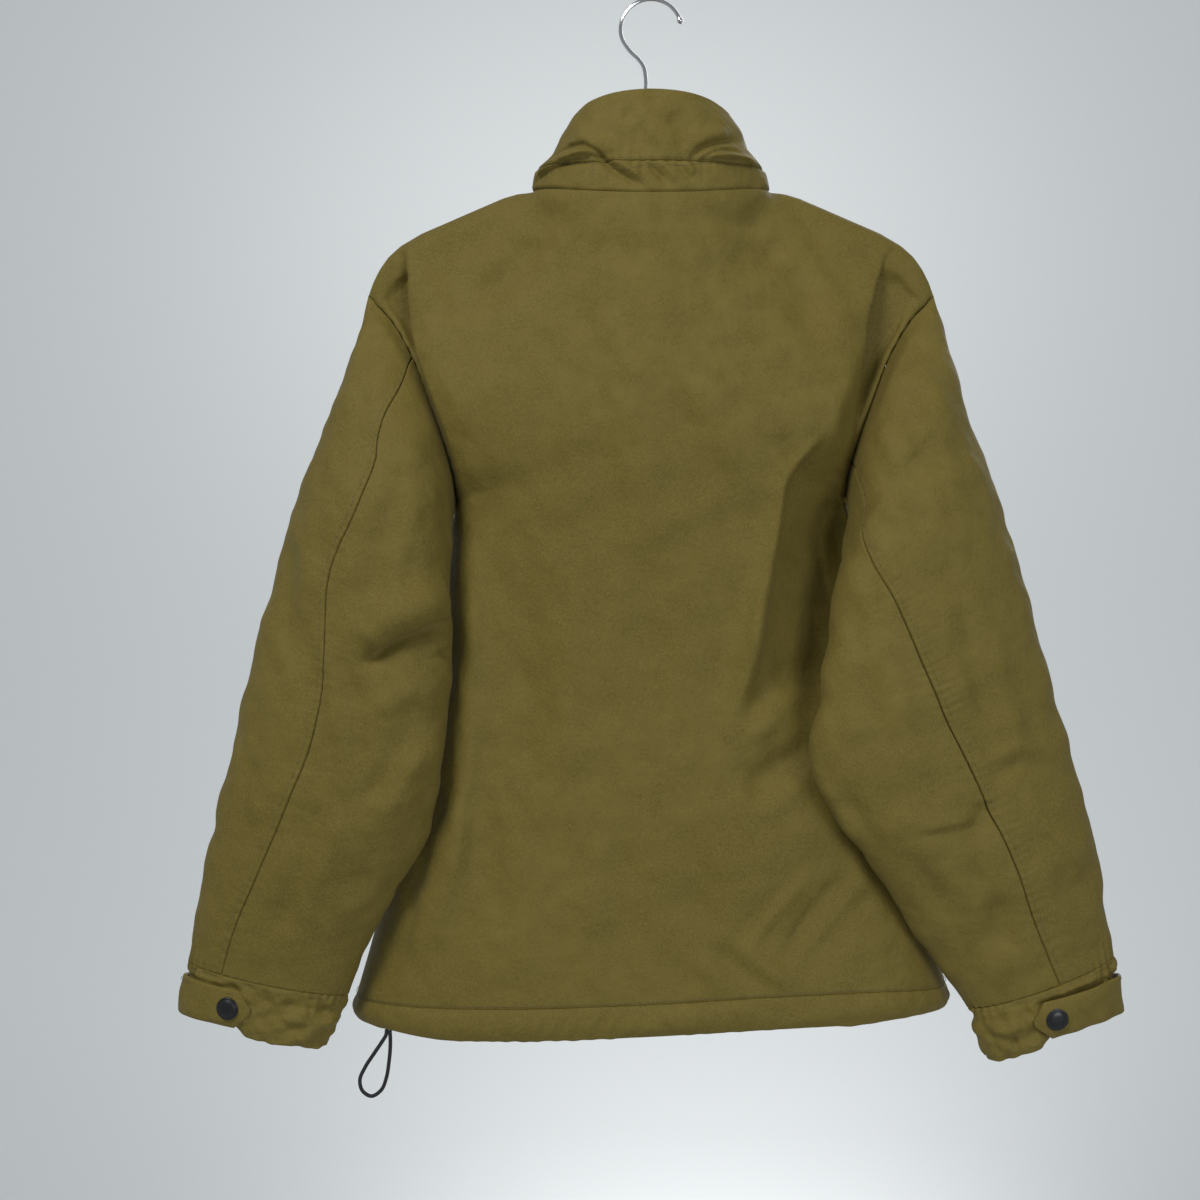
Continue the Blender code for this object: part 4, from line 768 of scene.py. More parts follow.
# How far the armhole's back seam is drawn in, by height.
SEAM_SINKS = {
    1: table("z sink", [(-0.401, 0), (-0.370, 4), (-0.310, 9), (-0.262, 8), (-0.235, 5), (-0.19, 0)]),
    -1: table("z sink", [(-0.401, 0), (-0.360, 9), (-0.300, 15), (-0.255, 14), (-0.225, 8), (-0.19, 0)]),
}
COLLAR_LAPS = [
    (7, 9, 1.3, [(34, -141), (39.5, -135.5), (48.5, -132.2), (56.2, -133.4), (71.7, -138),
                 (84.6, -144), (93, -152)]),
    (6.5, 8, 1.3, [(-84, -143), (-77.3, -137.8), (-73.5, -135), (-61.9, -134.7), (-49.3, -135.5),
                   (-38.7, -137), (-31, -141)]),
    (1.9, 12, 1.3, [(12, -88), (4, -88.5), (-8, -89), (-36, -92.3), (-54, -101), (-62, -110), (-66, -118)]),
]

# On the back of the collar: the pinch at each end of the drawn-in middle, and the puckers of the band.
COLLAR_CREASES = [
    (-6, 2.6, [(79, -133), (75.5, -129.3), (66.5, -124.7), (53.9, -125.2), (46.2, -130),
               (38.5, -137), (33, -144.5)]),
    (3, 5, [(72, -132), (60, -129), (50, -129)]),
    (3.4, 6, [(64, -116), (50, -117), (36, -126), (24, -136)]),
    (-4.5, 2.6, [(-28, -141), (-31, -136.8), (-36.4, -130), (-46.4, -124.7), (-61.9, -119.3), (-70, -118)]),
    (-4.2, 2.3, [(-34, -140), (-36.4, -138.6), (-49.3, -130.8), (-60, -129), (-72, -129.5)]),
    (3, 5, [(-24, -134), (-32, -124), (-46, -116), (-62, -112)]),
    (2.2, 8, [(10, -114), (-6, -124), (-20, -130)]),
    (-2.4, 8, [(26, -98), (14, -110), (4, -122)]),
    (-2, 7, [(-10, -104), (-24, -112), (-36, -114)]),
]
STAND_CREASES = [
    (-4.5, 2.5, [(44, -134), (40.8, -136.8), (27.9, -148.4), (16.3, -155.3), (10, -158)]),
    (3.6, 3, [(34, -137), (27.9, -139.3), (12.5, -149.4), (7.4, -157)]),
    (-3, 2.4, [(6, -139), (4.7, -141.8), (-5.5, -151), (-10.7, -157.8)]),
    (2.4, 2.6, [(-6, -140), (-14, -149), (-19, -157)]),
    (-2.7, 2.4, [(-16, -139), (-18.4, -141.8), (-26, -151), (-32.5, -157.8)]),
    (2.2, 2.6, [(-26, -141), (-33, -150)]),
]

# Grids and edges.
EDGE_ROUND = 0.9 * MM
EDGE_TUCK = 0.45 * MM
EDGE_LEAST = 0.15
EDGE_STEPS_AT = np.array([0.3, 0.8, 1.6]) * MM
CLOTH_STEP = 3.0 * MM
SLEEVE_STEP = 2.4 * MM
TRIM_STEP = 1.1 * MM
HEM_STEP = 2.4 * MM
COLLAR_STEP = 1.35 * MM
# The level at which the body's columns lie a step apart, and a row part of the way along a grid.
SPREAD_LEVEL = 0.55
PART_WAY = 60
CUFF_SIDES = 210
CUFF_ROWS = 26
# The turns round the neck's corner, in degrees, at which the body's columns are pinned.
NECK_CORNER_TURNS = [0, 9, 16, 23]
# How thin a wall gets where another lies close behind it: a share of the room, and the least.
THINNED_SHARE = 0.8
THINNEST = 0.35 * MM
# The armhole's seam: the most it sinks as a share of its own depth, its share in front, and how far it draws.
SINK_MOST = 0.55
SINK_IN_FRONT = 0.6
SINK_REACH = 24 * MM
# How far the cloth keeps off the hanger's bar, over it and below it.
OVER_HANGER = 3.4 * MM
BELOW_HANGER = 6 * MM
# The first rows of a sleeve, whose inner side is faced with the shell.
FACED_ROWS = 14

# Relief of the cloth: soft unevenness, and the puckers that sewing leaves beside a seam.
RIPPLE_LENGTHS = np.geomspace(13, 62, 16) * MM
RIPPLE_SLOPE = 0.0060
CRUMPLE_SLOPE = 1.6 * RIPPLE_SLOPE
PUCKER = 0.5 * MM
PUCKER_REACH = 8 * MM
PUCKER_LENGTH = 11.5 * MM
SMALL_PUCKER = 0.35 * MM
HEM_PHASE = 0.4
HEM_WAVE = 0.55 * MM
HEM_WAVE_LENGTH = 13.5 * MM
SLEEVE_LENGTH = 0.62
PUCKERED_LENGTH = 0.6
ARMHOLE_MEAN = 70 * MM
GATHER = 0.6 * MM
GATHER_LENGTH = 6.6 * MM
WRIST_MEAN = 50 * MM
WRIST_PHASE = 0.2
WRIST_PUCKER = 1.1 * MM
WRIST_PUCKER_LENGTH = 7.5 * MM
CUFF_PADDING = 0.9 * MM
STRAP_PRESSES = {1: 3.4 * MM, -1: 4.6 * MM}
TAB_LIFT = 0.9 * MM
TAB_CROWN = 0.5 * MM
TAB_EDGE_ROUND = 1.1 * MM
TAB_TIP = 2.6 * MM
COLLAR_HEIGHT = 75 * MM
COLLAR_MEAN = 80 * MM

# Sewing.
STITCH = 2.3 * MM
STITCH_PITCH = 3.0 * MM
STITCH_RADIUS = 0.34 * MM
# Stitches' pitch, length and radius where they differ, and where the rows lie.
TAB_STITCHING = (2.6 * MM, 2.0 * MM, 0.3 * MM)
COLLAR_STITCHING = (2.8 * MM, 2.2 * MM)
STITCHES_FROM_SEAM = 4.2 * MM
FRONT_STITCHES = 7 * MM
CUFF_STITCHES = (3.2 * MM, CUFF - 4 * MM)
TAB_STITCHES_INSIDE = 0.80
TAB_STITCHES_RUN = (0.02, 0.955)
STAND_STITCHES = 21.5 * MM
COLLAR_STITCHES = 2.5 * MM
COLLAR_EDGES = (47.5 * MM, -38.5 * MM)
TOOTH_PITCH = 1.45 * MM
TOOTH_HALF = 0.55 * MM
WIRE_BALL = 2.6 * MM
WIRE_BALL_REACH = 2.7 * MM

# Finishes and stage.
SHELL_DARK = (0.138, 0.101, 0.019)
SHELL_LIGHT = (0.202, 0.155, 0.036)
STRANDS = 4
STRAND_LENGTH = 2.2 * MM
STAGE_PROFILE = [(0.001, -2.6), (3.4, -2.6), (4.4, -2.45), (5.1, -2.05), (5.5, -1.4), (5.7, -0.6), (5.75, 4.0)]
STAGE_RINGS = 40
STAGE_SIDES = 96


def ripples(points, slope=RIPPLE_SLOPE):
    """Soft unevenness: a sum of sine waves of many lengths and fixed random ways through the point."""
    rng = np.random.default_rng(11)
    total = np.zeros(points.shape[:-1])
    for length in RIPPLE_LENGTHS:
        way = unit(rng.normal(size=3)) * 2 * math.pi / length
        total += np.sin(points @ way + rng.uniform(0, 2 * math.pi)) * length * slope
    return total


def puckers(away, along, phase=0.0, height=PUCKER, length=PUCKER_LENGTH):
    """Bumps along a seam that die out away from it: a sine of uneven length, stronger in some stretches."""
    wander = 1.4 * np.sin(along / (9.3 * MM) + phase) + 2.1 * np.sin(along / (27 * MM) - phase)
    strength = 0.6 + 0.4 * np.sin(along / (19 * MM) + 2 * phase)
    reach = PUCKER_REACH * (1 + 0.5 * np.sin(along / (13 * MM)))
    return height * strength * np.exp(-np.abs(away) / reach) * np.sin(2 * math.pi * along / length + wander)


def steps_along(points, axis):
    """Distance travelled along one axis of a grid, from its start."""
    steps = np.linalg.norm(np.diff(points, axis=axis), axis=-1)
    start = np.zeros_like(np.take(steps, [0], axis=axis))
    return np.concatenate([start, np.cumsum(steps, axis=axis)], axis=axis)


def spread(line, low, high, step, pinned=()):
    """Places from low to high whose points on a line lie a step apart, with close ones at both ends."""
    fine = np.linspace(low, high, 700)
    length = steps_along(line(fine), 0)
    total = length[-1]
    fixed = np.interp(np.asarray(pinned, float), fine, length)
    even = np.linspace(0, total, max(int(round(total / step)), 4) + 1)
    even = even[(even > 2.2 * MM) & (even < total - 2.2 * MM)]
    if len(fixed):
        even = even[np.abs(even[:, None] - fixed).min(1) > step / 3]
    at = np.concatenate([[0], EDGE_STEPS_AT, even, total - EDGE_STEPS_AT, [total]])
    return np.unique(np.concatenate([np.interp(at, length, fine), pinned]))


def grid_quads(rows, columns, closed):
    """The numbers of a grid's points, with the first column again at the end if closed, and its quads."""
    index = np.arange(rows * columns).reshape(rows, columns)
    if closed:
        index = np.concatenate([index, index[:, :1]], axis=1)
    quads = np.stack([index[:-1, :-1], index[:-1, 1:], index[1:, 1:], index[1:, :-1]], -1)
    return index, quads.reshape(-1, 4)


def at_length(at, length, points):
    """Points on a line at given lengths along it."""
    return np.stack([np.interp(at, length, column) for column in points.T], -1)


def level_out(line):
    """The level way out of a line that runs round the body."""
    out = unit(np.cross(unit(np.gradient(line, axis=0)), [0, 0, 1]))
    return out * np.sign((out[:, :2] * line[:, :2]).sum(-1).mean())


def grid_normals(points, closed=False):
    """Square to a grid's surface at each point, from its neighbours."""
    across = np.gradient(points, axis=1)
    if closed:
        across = np.roll(points, -1, 1) - np.roll(points, 1, 1)
    return unit(np.cross(across, np.gradient(points, axis=0)))


def outward(points, middle):
    """A grid's normals, turned away from a middle."""
    way = grid_normals(points)
    return way * np.sign(((points - middle) * way).sum(-1).mean())


def add_piece(name, mesh, node):
    """Links a piece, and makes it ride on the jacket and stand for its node."""
    made = bpy.data.objects.new(name, mesh)
    bpy.context.collection.objects.link(made)
    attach(made, "jacket")
    if node:
        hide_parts(node)
    return made


def mesh_of(name, vertices, faces, materials, indices=None, uv=None, smooth_by=None):
    """A smooth mesh from arrays of points and of quads or triangles."""
    mesh = bpy.data.meshes.new(name)
    mesh.from_pydata(np.asarray(vertices).tolist(), [], [list(map(int, face)) for face in faces])
    for material in materials:
        mesh.materials.append(material)
    if indices is not None:
        mesh.polygons.foreach_set("material_index", np.asarray(indices, np.int32))
    if uv is not None:
        layer = mesh.uv_layers.new(name="cut")
        loops = np.zeros(len(mesh.loops), np.int32)
        mesh.loops.foreach_get("vertex_index", loops)
        layer.data.foreach_set("uv", np.asarray(uv, np.float32)[loops].ravel())
    mesh.shade_smooth()
    if smooth_by:
        mesh.set_sharp_from_angle(angle=math.radians(smooth_by))
    mesh.update()
    return mesh


def cloth(name, outer, way, thickness=CLOTH, closed=False, rounded=EDGE_ROUND, faced=0):
    """A thin wall of cloth on a grid of outer points, whose thickness dies away at its edges as a roll does.

    The inner side is fleece, but for the first few rows where they are faced with the shell.
    """
    down, over = steps_along(outer, 0), steps_along(outer, 1)
    away = np.minimum(down, down[-1:] - down)
    if not closed:
        away = np.minimum(away, np.minimum(over, over[:, -1:] - over))
    full = np.sqrt(1 - (1 - np.clip(away / rounded, 0, 1)) ** 2)
    half = way * (thickness / 2) if np.isscalar(thickness) else way * thickness[..., None] / 2
    middle = outer - half
    middle[0] += unit(middle[0] - middle[1]) * EDGE_TUCK
    middle[-1] += unit(middle[-1] - middle[-2]) * EDGE_TUCK
    if not closed:
        middle[:, 0] += unit(middle[:, 0] - middle[:, 1]) * EDGE_TUCK
        middle[:, -1] += unit(middle[:, -1] - middle[:, -2]) * EDGE_TUCK
    half = half * (EDGE_LEAST + (1 - EDGE_LEAST) * full)[..., None]
    rows, columns = outer.shape[:2]
    count = rows * columns
    vertices = np.concatenate([(middle + half).reshape(-1, 3), (middle - half).reshape(-1, 3)])
    index, quads = grid_quads(rows, columns, closed)
    if closed:
        rims = [index[0], index[-1][::-1]]
    else:
        rims = [np.concatenate([index[0], index[1:, -1], index[-1, -2::-1], index[-2::-1, 0]])]
    faces = [quads, quads[:, ::-1] + count]
    for rim in rims:
        faces.append(np.stack([rim[1:], rim[:-1], rim[:-1] + count, rim[1:] + count], -1))
    some = quads[len(quads) // 2]
    corner = vertices[some]
    faces_out = np.cross(corner[1] - corner[0], corner[2] - corner[0]) @ way.reshape(-1, 3)[some[0]]
    faces = np.concatenate(faces)
    if faces_out < 0:
        faces = faces[:, ::-1]
    indices = np.zeros(len(faces))
    indices[len(quads) + faced * (columns - 1) : 2 * len(quads)] = 1
    plane = np.tile(np.stack([over, down], -1).reshape(-1, 2), (2, 1))
    mesh = mesh_of(name, vertices, faces, [MATERIALS["shell"], MATERIALS["fleece"]], indices, plane)
    node = name.removesuffix("_cloth")
    made = add_piece(name, mesh, node)


def stitches(name, lines, pitch=STITCH_PITCH, long=STITCH, radius=STITCH_RADIUS):
    """One piece of short round-ended stitches laid along lines; each line is its points and the ways out there."""
    sides = 5
    turn = np.arange(sides) * 2 * math.pi / sides
    rings = [(-0.42, 0.75), (-0.2, 1.0), (0.2, 1.0), (0.42, 0.75)]
    vertices, faces = [], []
    for points, ways in lines:
        length = steps_along(points, 0)
        count = int(length[-1] / pitch)
        starts = (np.arange(count) + 0.5) * length[-1] / max(count, 1)
        for at in starts:
            low, high = (at_length(end, length, points) for end in (at - long / 2, at + long / 2))
            out = unit(at_length(at, length, ways))
            along = unit(high - low)
            side = np.cross(along, out)
            middle = (low + high) / 2
            start = len(vertices)
            for place, width in rings:
                for t in turn:
                    round_way = math.cos(t) * side + math.sin(t) * out * 0.8
                    vertices.append(middle + along * place * long + round_way * width * radius)
            vertices.append(middle - along * long / 2)
            vertices.append(middle + along * long / 2)
            for ring in range(3):
                for a in range(sides):
                    b = (a + 1) % sides
                    low_a, low_b = start + ring * sides + a, start + ring * sides + b
                    faces.append((low_a, low_b, low_b + sides, low_a + sides))
            for a in range(sides):
                b = (a + 1) % sides
                faces.append((start + b, start + a, start + 4 * sides))
                faces.append((start + 3 * sides + a, start + 3 * sides + b, start + 4 * sides + 1))
    add_piece(name, mesh_of(name, vertices, faces, [MATERIALS["thread"]]), None)


# The body.


def thinned(away):
    """A cloth's thickness where its other side lies close: it thins out, so that neither wall comes through."""
    return np.clip(THINNED_SHARE * np.abs(away), THINNEST, CLOTH)


def seam_sink(x, z, depth, back):
    """How far the armhole's seam is drawn in, on the back or on the front: at most a share of its own depth."""
    drawn = np.where(x > 0, read(SEAM_SINKS[1], "sink", z), read(SEAM_SINKS[-1], "sink", z))
    return np.minimum(drawn, SINK_MOST * np.abs(depth)) * np.where(back, -1, SINK_IN_FRONT)


def body_surface(across, level, back):
    """The body's outer surface with its creases, and the way out of it at each point of the grid."""
    points = body(across, level, back)
    x, z = points[..., 0], points[..., 2]
    from_edge = edge_half_width(level) - np.abs(x)
    seam = body(np.where(across < 0, -1.0, 1.0), level, back)
    points[..., 1] += seam_sink(x, z, seam[..., 1], back) * (1 - smooth(from_edge / SINK_REACH))
    way = outward(points, [0, 0, -0.5])
    below, above = top_z(x, back) - z, z - hem_z(x)
    held = smooth(from_edge / (20 * MM)) * smooth(below / (20 * MM)) * smooth(above / (16 * MM))
    height = (fold_heights(BACK_CREASES if back else FRONT_CREASES, x, z) + ripples(points)) * held
    lapped = laps(BACK_LAPS if back else FRONT_LAPS, x, z)
    height += lapped * smooth(from_edge / (9 * MM)) * smooth(below / (16 * MM)) * smooth(above / (16 * MM))
    height += puckers(above, x, HEM_PHASE) * smooth(from_edge / (12 * MM))
    by_armhole = smooth(below / (12 * MM)) * smooth((level - UNDERARM_LEVEL) / 0.03)
    height += puckers(from_edge, z, 1.7, SMALL_PUCKER) * by_armhole
    moved = points + height[..., None] * way
    out = 1 if back else -1
    clear = HANGER_RADIUS + OVER_HANGER - BELOW_HANGER * smooth((below - 20 * MM) / (16 * MM))
    moved[..., 1] = out * np.maximum(moved[..., 1] * out, np.minimum(points[..., 1] * out, clear))
    return moved, way


def make_body():
    """The back and the two fronts."""
    corner = NECK_HALF_WIDTH * np.cos(np.radians(NECK_CORNER_TURNS))
    neck = place_at(corner, 1.0, True)
    columns = spread(lambda a: body(a, SPREAD_LEVEL, True), -1, 1, CLOTH_STEP, np.concatenate([-neck, neck]))
    rows = spread(lambda v: body(0.3, v, True), 0, 1, CLOTH_STEP)[:, None]
    points, way = body_surface(columns[None, :] + 0 * rows, rows + 0 * columns[None, :], True)
    cloth("back_cloth", points, way, thinned(points[..., 1]))
    zip_edge = float(place_at(ZIP_HALF_GAP, SPREAD_LEVEL))
    fronts = spread(lambda a: body(a, SPREAD_LEVEL, False), zip_edge, 1, CLOTH_STEP)
    gap = float(place_at(ZIP_HALF_GAP, 1.0))
    even, pinned = (fronts - fronts[0]) / (1 - fronts[0]), (place_at(corner, 1.0) - gap) / (1 - gap)
    share = np.sort(np.concatenate([even, pinned]))
    rows = spread(lambda v: body(0.3, v, False), 0, 1, CLOTH_STEP)[:, None]
    start = place_at(ZIP_HALF_GAP, rows)
    lines = []
    for side, name in ((1, "front_left"), (-1, "front_right")):
        across = (start + (1 - start) * share[None, :]) * side
        points, way = body_surface(across, rows + 0 * across, False)
        cloth(f"{name}_cloth", points, way, thinned(points[..., 1]))
        at = int(np.argmin(np.abs(steps_along(points, 1)[PART_WAY] - FRONT_STITCHES)))
        lines.append((points[3:-3, at] + way[3:-3, at] * STITCH_RADIUS * 0.2, way[3:-3, at]))
    stitches("front_stitches", lines)


# Sleeves and cuffs.


def sleeve_surface(side, share, turn, start, end):
    """A sleeve panel's outer surface with its creases, and the way out of it."""
    points = sleeve(side, share, turn)
    drawn = seam_sink(points[..., 0], points[..., 2], armhole(turn, side)[..., 1], np.sin(turn) > 0)
    points[..., 1] += drawn * (1 - smooth(share / 0.035))
    middle = sleeve_middle(side, share)
    way = outward(points, middle)
    radius = np.linalg.norm(points - middle, axis=-1)
    x, z = points[..., 0], points[..., 2]
    from_seam = np.minimum(turn - start, end - turn) * radius
    past_seam = np.abs(turn - seam_turn(side, share))
    from_back = np.minimum(past_seam, np.abs(turn - seam_turn(side, share) - 2 * math.pi)) * radius
    ends = smooth(share / 0.06) * smooth((1 - share) / 0.03)
    held = ends * (0.45 + 0.55 * smooth(from_seam / (12 * MM)))
    behind = smooth(np.sin(turn) * 2.4 + 0.2)
    before = smooth(-np.sin(turn) * 2.4 + 0.2)
    height = (fold_heights(SLEEVE_BACK_CREASES[side], x, z) + laps(SLEEVE_LAPS[side], x, z)) * behind
    height += fold_heights(SLEEVE_FRONT_CREASES[side], x, z) * before
    height = (height + ripples(points, 1.25 * RIPPLE_SLOPE)) * held
    along = share * SLEEVE_LENGTH
    outer_side = turn < seam_turn(side, share)
    slant = along + 0.5 * from_back
    gathers = GATHER * np.sin(2 * math.pi * slant / GATHER_LENGTH + 1.7 * np.sin(along / (17 * MM)))
    height += gathers * np.exp(-((from_back / (9 * MM)) ** 2)) * np.where(outer_side, 1.0, 0.35) * ends
    height += puckers(from_back, along, 0.9, SMALL_PUCKER) * ends
    height += puckers(share * PUCKERED_LENGTH, turn * ARMHOLE_MEAN, 2.2, 0.3 * MM)
    from_wrist = (1 - share) * PUCKERED_LENGTH
    height += puckers(from_wrist, turn * WRIST_MEAN, WRIST_PHASE, WRIST_PUCKER, WRIST_PUCKER_LENGTH)
    return points + height[..., None] * way, way


def make_sleeve(side, word):
    """The upper and the under sleeve, with the stitches beside the back seam."""
    rows = spread(lambda s: sleeve(side, s, np.full_like(s, 0.4)), 0, 1, SLEEVE_STEP)[:, None]
    back_seam = seam_turn(side, rows)
    upper = math.radians(UPPER_STEPS * RING_STEP)
    gap = SEAM_SHARE * SEAM / WRIST_RADIUS
    for piece, start, wide in (("upper", back_seam - upper, upper), ("under", back_seam, 2 * math.pi - upper)):
        part_way = start[PART_WAY, 0]
        columns = spread(lambda c: sleeve(side, np.full_like(c, 0.4), part_way + c * wide), 0, 1, CLOTH_STEP)
        turn = start + gap + (wide - 2 * gap) * columns[None, :]
        points, way = sleeve_surface(side, rows + 0 * turn, turn, start, start + wide)
        close = thinned((sleeve(side, rows, turn) - sleeve(side, rows, -turn))[..., 1] / 2)
        thickness = close + (CLOTH - close) * smooth(rows / 0.2)
        cloth(f"sleeve_{word}_{piece}_cloth", points, way, thickness, faced=FACED_ROWS)
        if piece == "upper":
            over = steps_along(points, 1)
            line, ways = [], []
            for row in range(2, len(points) - 2):
                at = over[row, -1] - STITCHES_FROM_SEAM
                line.append(at_length(at, over[row], points[row]))
                ways.append(at_length(at, over[row], way[row]))
            stitches(f"sleeve_{word}_stitches", [(np.array(line), np.array(ways))])


def cuff_surface(side, drop, turn):
    """A cuff's outer surface, padded and a little crumpled, and the way out of it."""
    points = cuff(side, drop, turn)
    way = grid_normals(points, True)
    spoke = points - points.mean(1, keepdims=True)
    way = way * np.sign((spoke * way).sum(-1, keepdims=True))
    share = drop / CUFF
    tab = TABS[side]
    start, tip = math.radians(tab["start"]), math.radians(tab["tip"])
    strapped = smooth((turn + 0.7) / 0.5) * (1 - smooth((turn - tip + 0.22) / 0.22))
    points[..., 2] += share**2 * (6.5 * MM * strapped - 2.5 * MM * (1 - strapped) * smooth(np.sin(turn) * 2))
    height = CUFF_PADDING * np.sin(math.pi * np.clip(share, 0, 1)) ** 1.3
    crumples = ripples(points, CRUMPLE_SLOPE) + ripples(points * 2.6, CRUMPLE_SLOPE)
    height += crumples * smooth(share / 0.15)
    strap_drop = np.interp((turn - start) / (tip - start), [0, 1], [tab["drop_start"], tab["drop_tip"]])
    from_strap = (drop - (strap_drop - TAB_HALF_WIDTH + 1 * MM)) / (3.2 * MM)
    height -= STRAP_PRESSES[side] * np.exp(-(from_strap**2)) * strapped * smooth((turn + 0.5) / 0.3)
    height += puckers(drop, turn * WRIST_MEAN, WRIST_PHASE, WRIST_PUCKER, WRIST_PUCKER_LENGTH)
    height += puckers(CUFF - drop, turn * WRIST_MEAN, 1.2)
    creases = fold_heights(CUFF_CREASES[side], points[..., 0], points[..., 2])
    height += creases * smooth(np.sin(turn) * 4) * smooth(share / 0.1)
    pleats = np.sin(turn * 23) * 1.6 * MM * np.exp(-((turn - 0.2) ** 2) / 0.3) * (1 - share) * smooth(share / 0.08)
    return points + (height + pleats)[..., None] * way, way


def make_cuff(side, word):
    """The cuff with its rows of stitches, its strap and its snap."""
    turn = (np.arange(CUFF_SIDES) / CUFF_SIDES * 2 * math.pi - math.pi)[None, :]
    even = np.linspace(3 * MM, CUFF - 3 * MM, CUFF_ROWS)
    drop = np.concatenate([[0], EDGE_STEPS_AT, even, CUFF - EDGE_STEPS_AT[::-1], [CUFF]])[:, None]
    points, way = cuff_surface(side, drop + 0 * turn, turn + 0 * drop)
    points = points + cuff_axis(side) * SEAM / 2
    cloth(f"cuff_{word}_cloth", points, way, closed=True)
    loops = []
    for stitched in CUFF_STITCHES:
        row = int(np.argmin(np.abs(drop - stitched)))
        loops.append([np.concatenate([grid[row], grid[row, :1]]) for grid in (points, way)])
    stitches(f"cuff_{word}_stitches", loops)
    make_tab(side, word)


def tab_grid(side, along, places):
    """Points of a strap's upper face and the ways out: along is a length from its start, places run -1 to 1."""
    start, tip = math.radians(TABS[side]["start"]), math.radians(TABS[side]["tip"])
    fine = np.linspace(start, tip, 200)
    line, out = tab_point(side, fine, LAID_ON + TAB_CLOTH + TAB_LIFT)
    length = steps_along(line, 0)
    along = along * length[-1]
    middle = at_length(along, length, line)
    ways = unit(at_length(along, length, out))
    sideways = unit(np.cross(ways, unit(np.gradient(middle, axis=0))))
    taper = np.clip((along - (length[-1] - TAB_POINT)) / TAB_POINT, 0, 1)
    half = TAB_HALF_WIDTH + (TAB_TIP - TAB_HALF_WIDTH) * taper
    points = middle[:, None] + (half[:, None] * places)[..., None] * sideways[:, None]
    return points, np.repeat(ways[:, None], places.shape[-1], 1)


def make_tab(side, word):
    """The strap on the cuff, its edge stitching, and the snap with its rim and dimple."""
    near = np.array([0, 0.3, 0.9, 1.7]) / 90
    along = np.concatenate([near, np.linspace(0.03, 0.97, 76), 1 - near[::-1]])
    places = np.concatenate([[-1, -0.975, -0.93, -0.87], np.linspace(-0.78, 0.78, 15), [0.87, 0.93, 0.975, 1]])
    points, way = tab_grid(side, along, places[None, :])
    lift = ripples(points, CRUMPLE_SLOPE) + TAB_CROWN * (1 - places[None, :] ** 2)
    points = points + lift[..., None] * way
    cloth(f"cuff_tab_{word}_cloth", points, way, TAB_CLOTH, rounded=TAB_EDGE_ROUND)
    inside, (begins, ends) = TAB_STITCHES_INSIDE, TAB_STITCHES_RUN
    track = np.concatenate([np.full(40, -inside), np.linspace(-inside, inside, 12), np.full(40, inside)])
    run = np.concatenate([np.linspace(begins, ends, 40), np.full(12, ends), np.linspace(ends, begins, 40)])
    order = np.argsort(run)
    edge, edge_way = tab_grid(side, np.sort(run), track[order][:, None])
    edge, edge_way = edge[np.argsort(order), 0], edge_way[np.argsort(order), 0]
    edge = edge + edge_way * 0.35 * MM
    stitches(f"cuff_tab_{word}_stitches", [(edge, edge_way)], *TAB_STITCHING)
    start, tip = math.radians(TABS[side]["start"]), math.radians(TABS[side]["tip"])
    fine = np.linspace(start, tip, 60)
    line, _ = tab_point(side, fine, 0.0)
    length = steps_along(line, 0)
    snap_turn = np.interp([length[-1] - SNAP_FROM_TIP], length, fine)
    seat, out = tab_point(side, snap_turn, LAID_ON + TAB_CLOTH + TAB_LIFT + SEAM)
    make_snap(word, seat[0], out[0])


# The snap's turned profile: radius and height as shares of its own.
SNAP_LOOKS = [
    (0, 0), (0.93, 0), (1.0, 0.10), (1.0, 0.36), (0.96, 0.50), (0.88, 0.56),
    (0.84, 0.52), (0.80, 0.56), (0.66, 0.84), (0.44, 0.97), (0.24, 1.0), (0, 1.0),
]


def turned(profile, radius, height, sides):
    """Points and faces of a profile turned about z, with its ends closed to single points."""
    turns = np.arange(sides) * 2 * math.pi / sides
    inner = profile[1:-1]
    vertices = [(r * radius * math.cos(t), r * radius * math.sin(t), h * height) for r, h in inner for t in turns]
    rings = len(profile) - 2
    vertices += [(0, 0, profile[0][1] * height), (0, 0, profile[-1][1] * height)]
    faces = []
    for a in range(sides):
        b = (a + 1) % sides
        for ring in range(rings - 1):
            faces.append((ring * sides + a, ring * sides + b, (ring + 1) * sides + b, (ring + 1) * sides + a))
        faces.append((b, a, rings * sides))
        faces.append(((rings - 1) * sides + a, (rings - 1) * sides + b, rings * sides + 1))
    return np.array(vertices), faces


def make_snap(word, seat, out):
    """The round snap on its strap."""
    vertices, faces = turned(SNAP_LOOKS, SNAP_RADIUS, SNAP_HEIGHT, SNAP_SIDES)
    frame = np.array(Vector((0, 0, 1)).rotation_difference(Vector(out)).to_matrix())
    mesh = mesh_of(f"cuff_snap_{word}_dome", vertices @ frame.T + seat, faces, [MATERIALS["snap"]], smooth_by=40)
    add_piece(f"cuff_snap_{word}_dome", mesh, f"cuff_snap_{word}")


# Hem and collar.


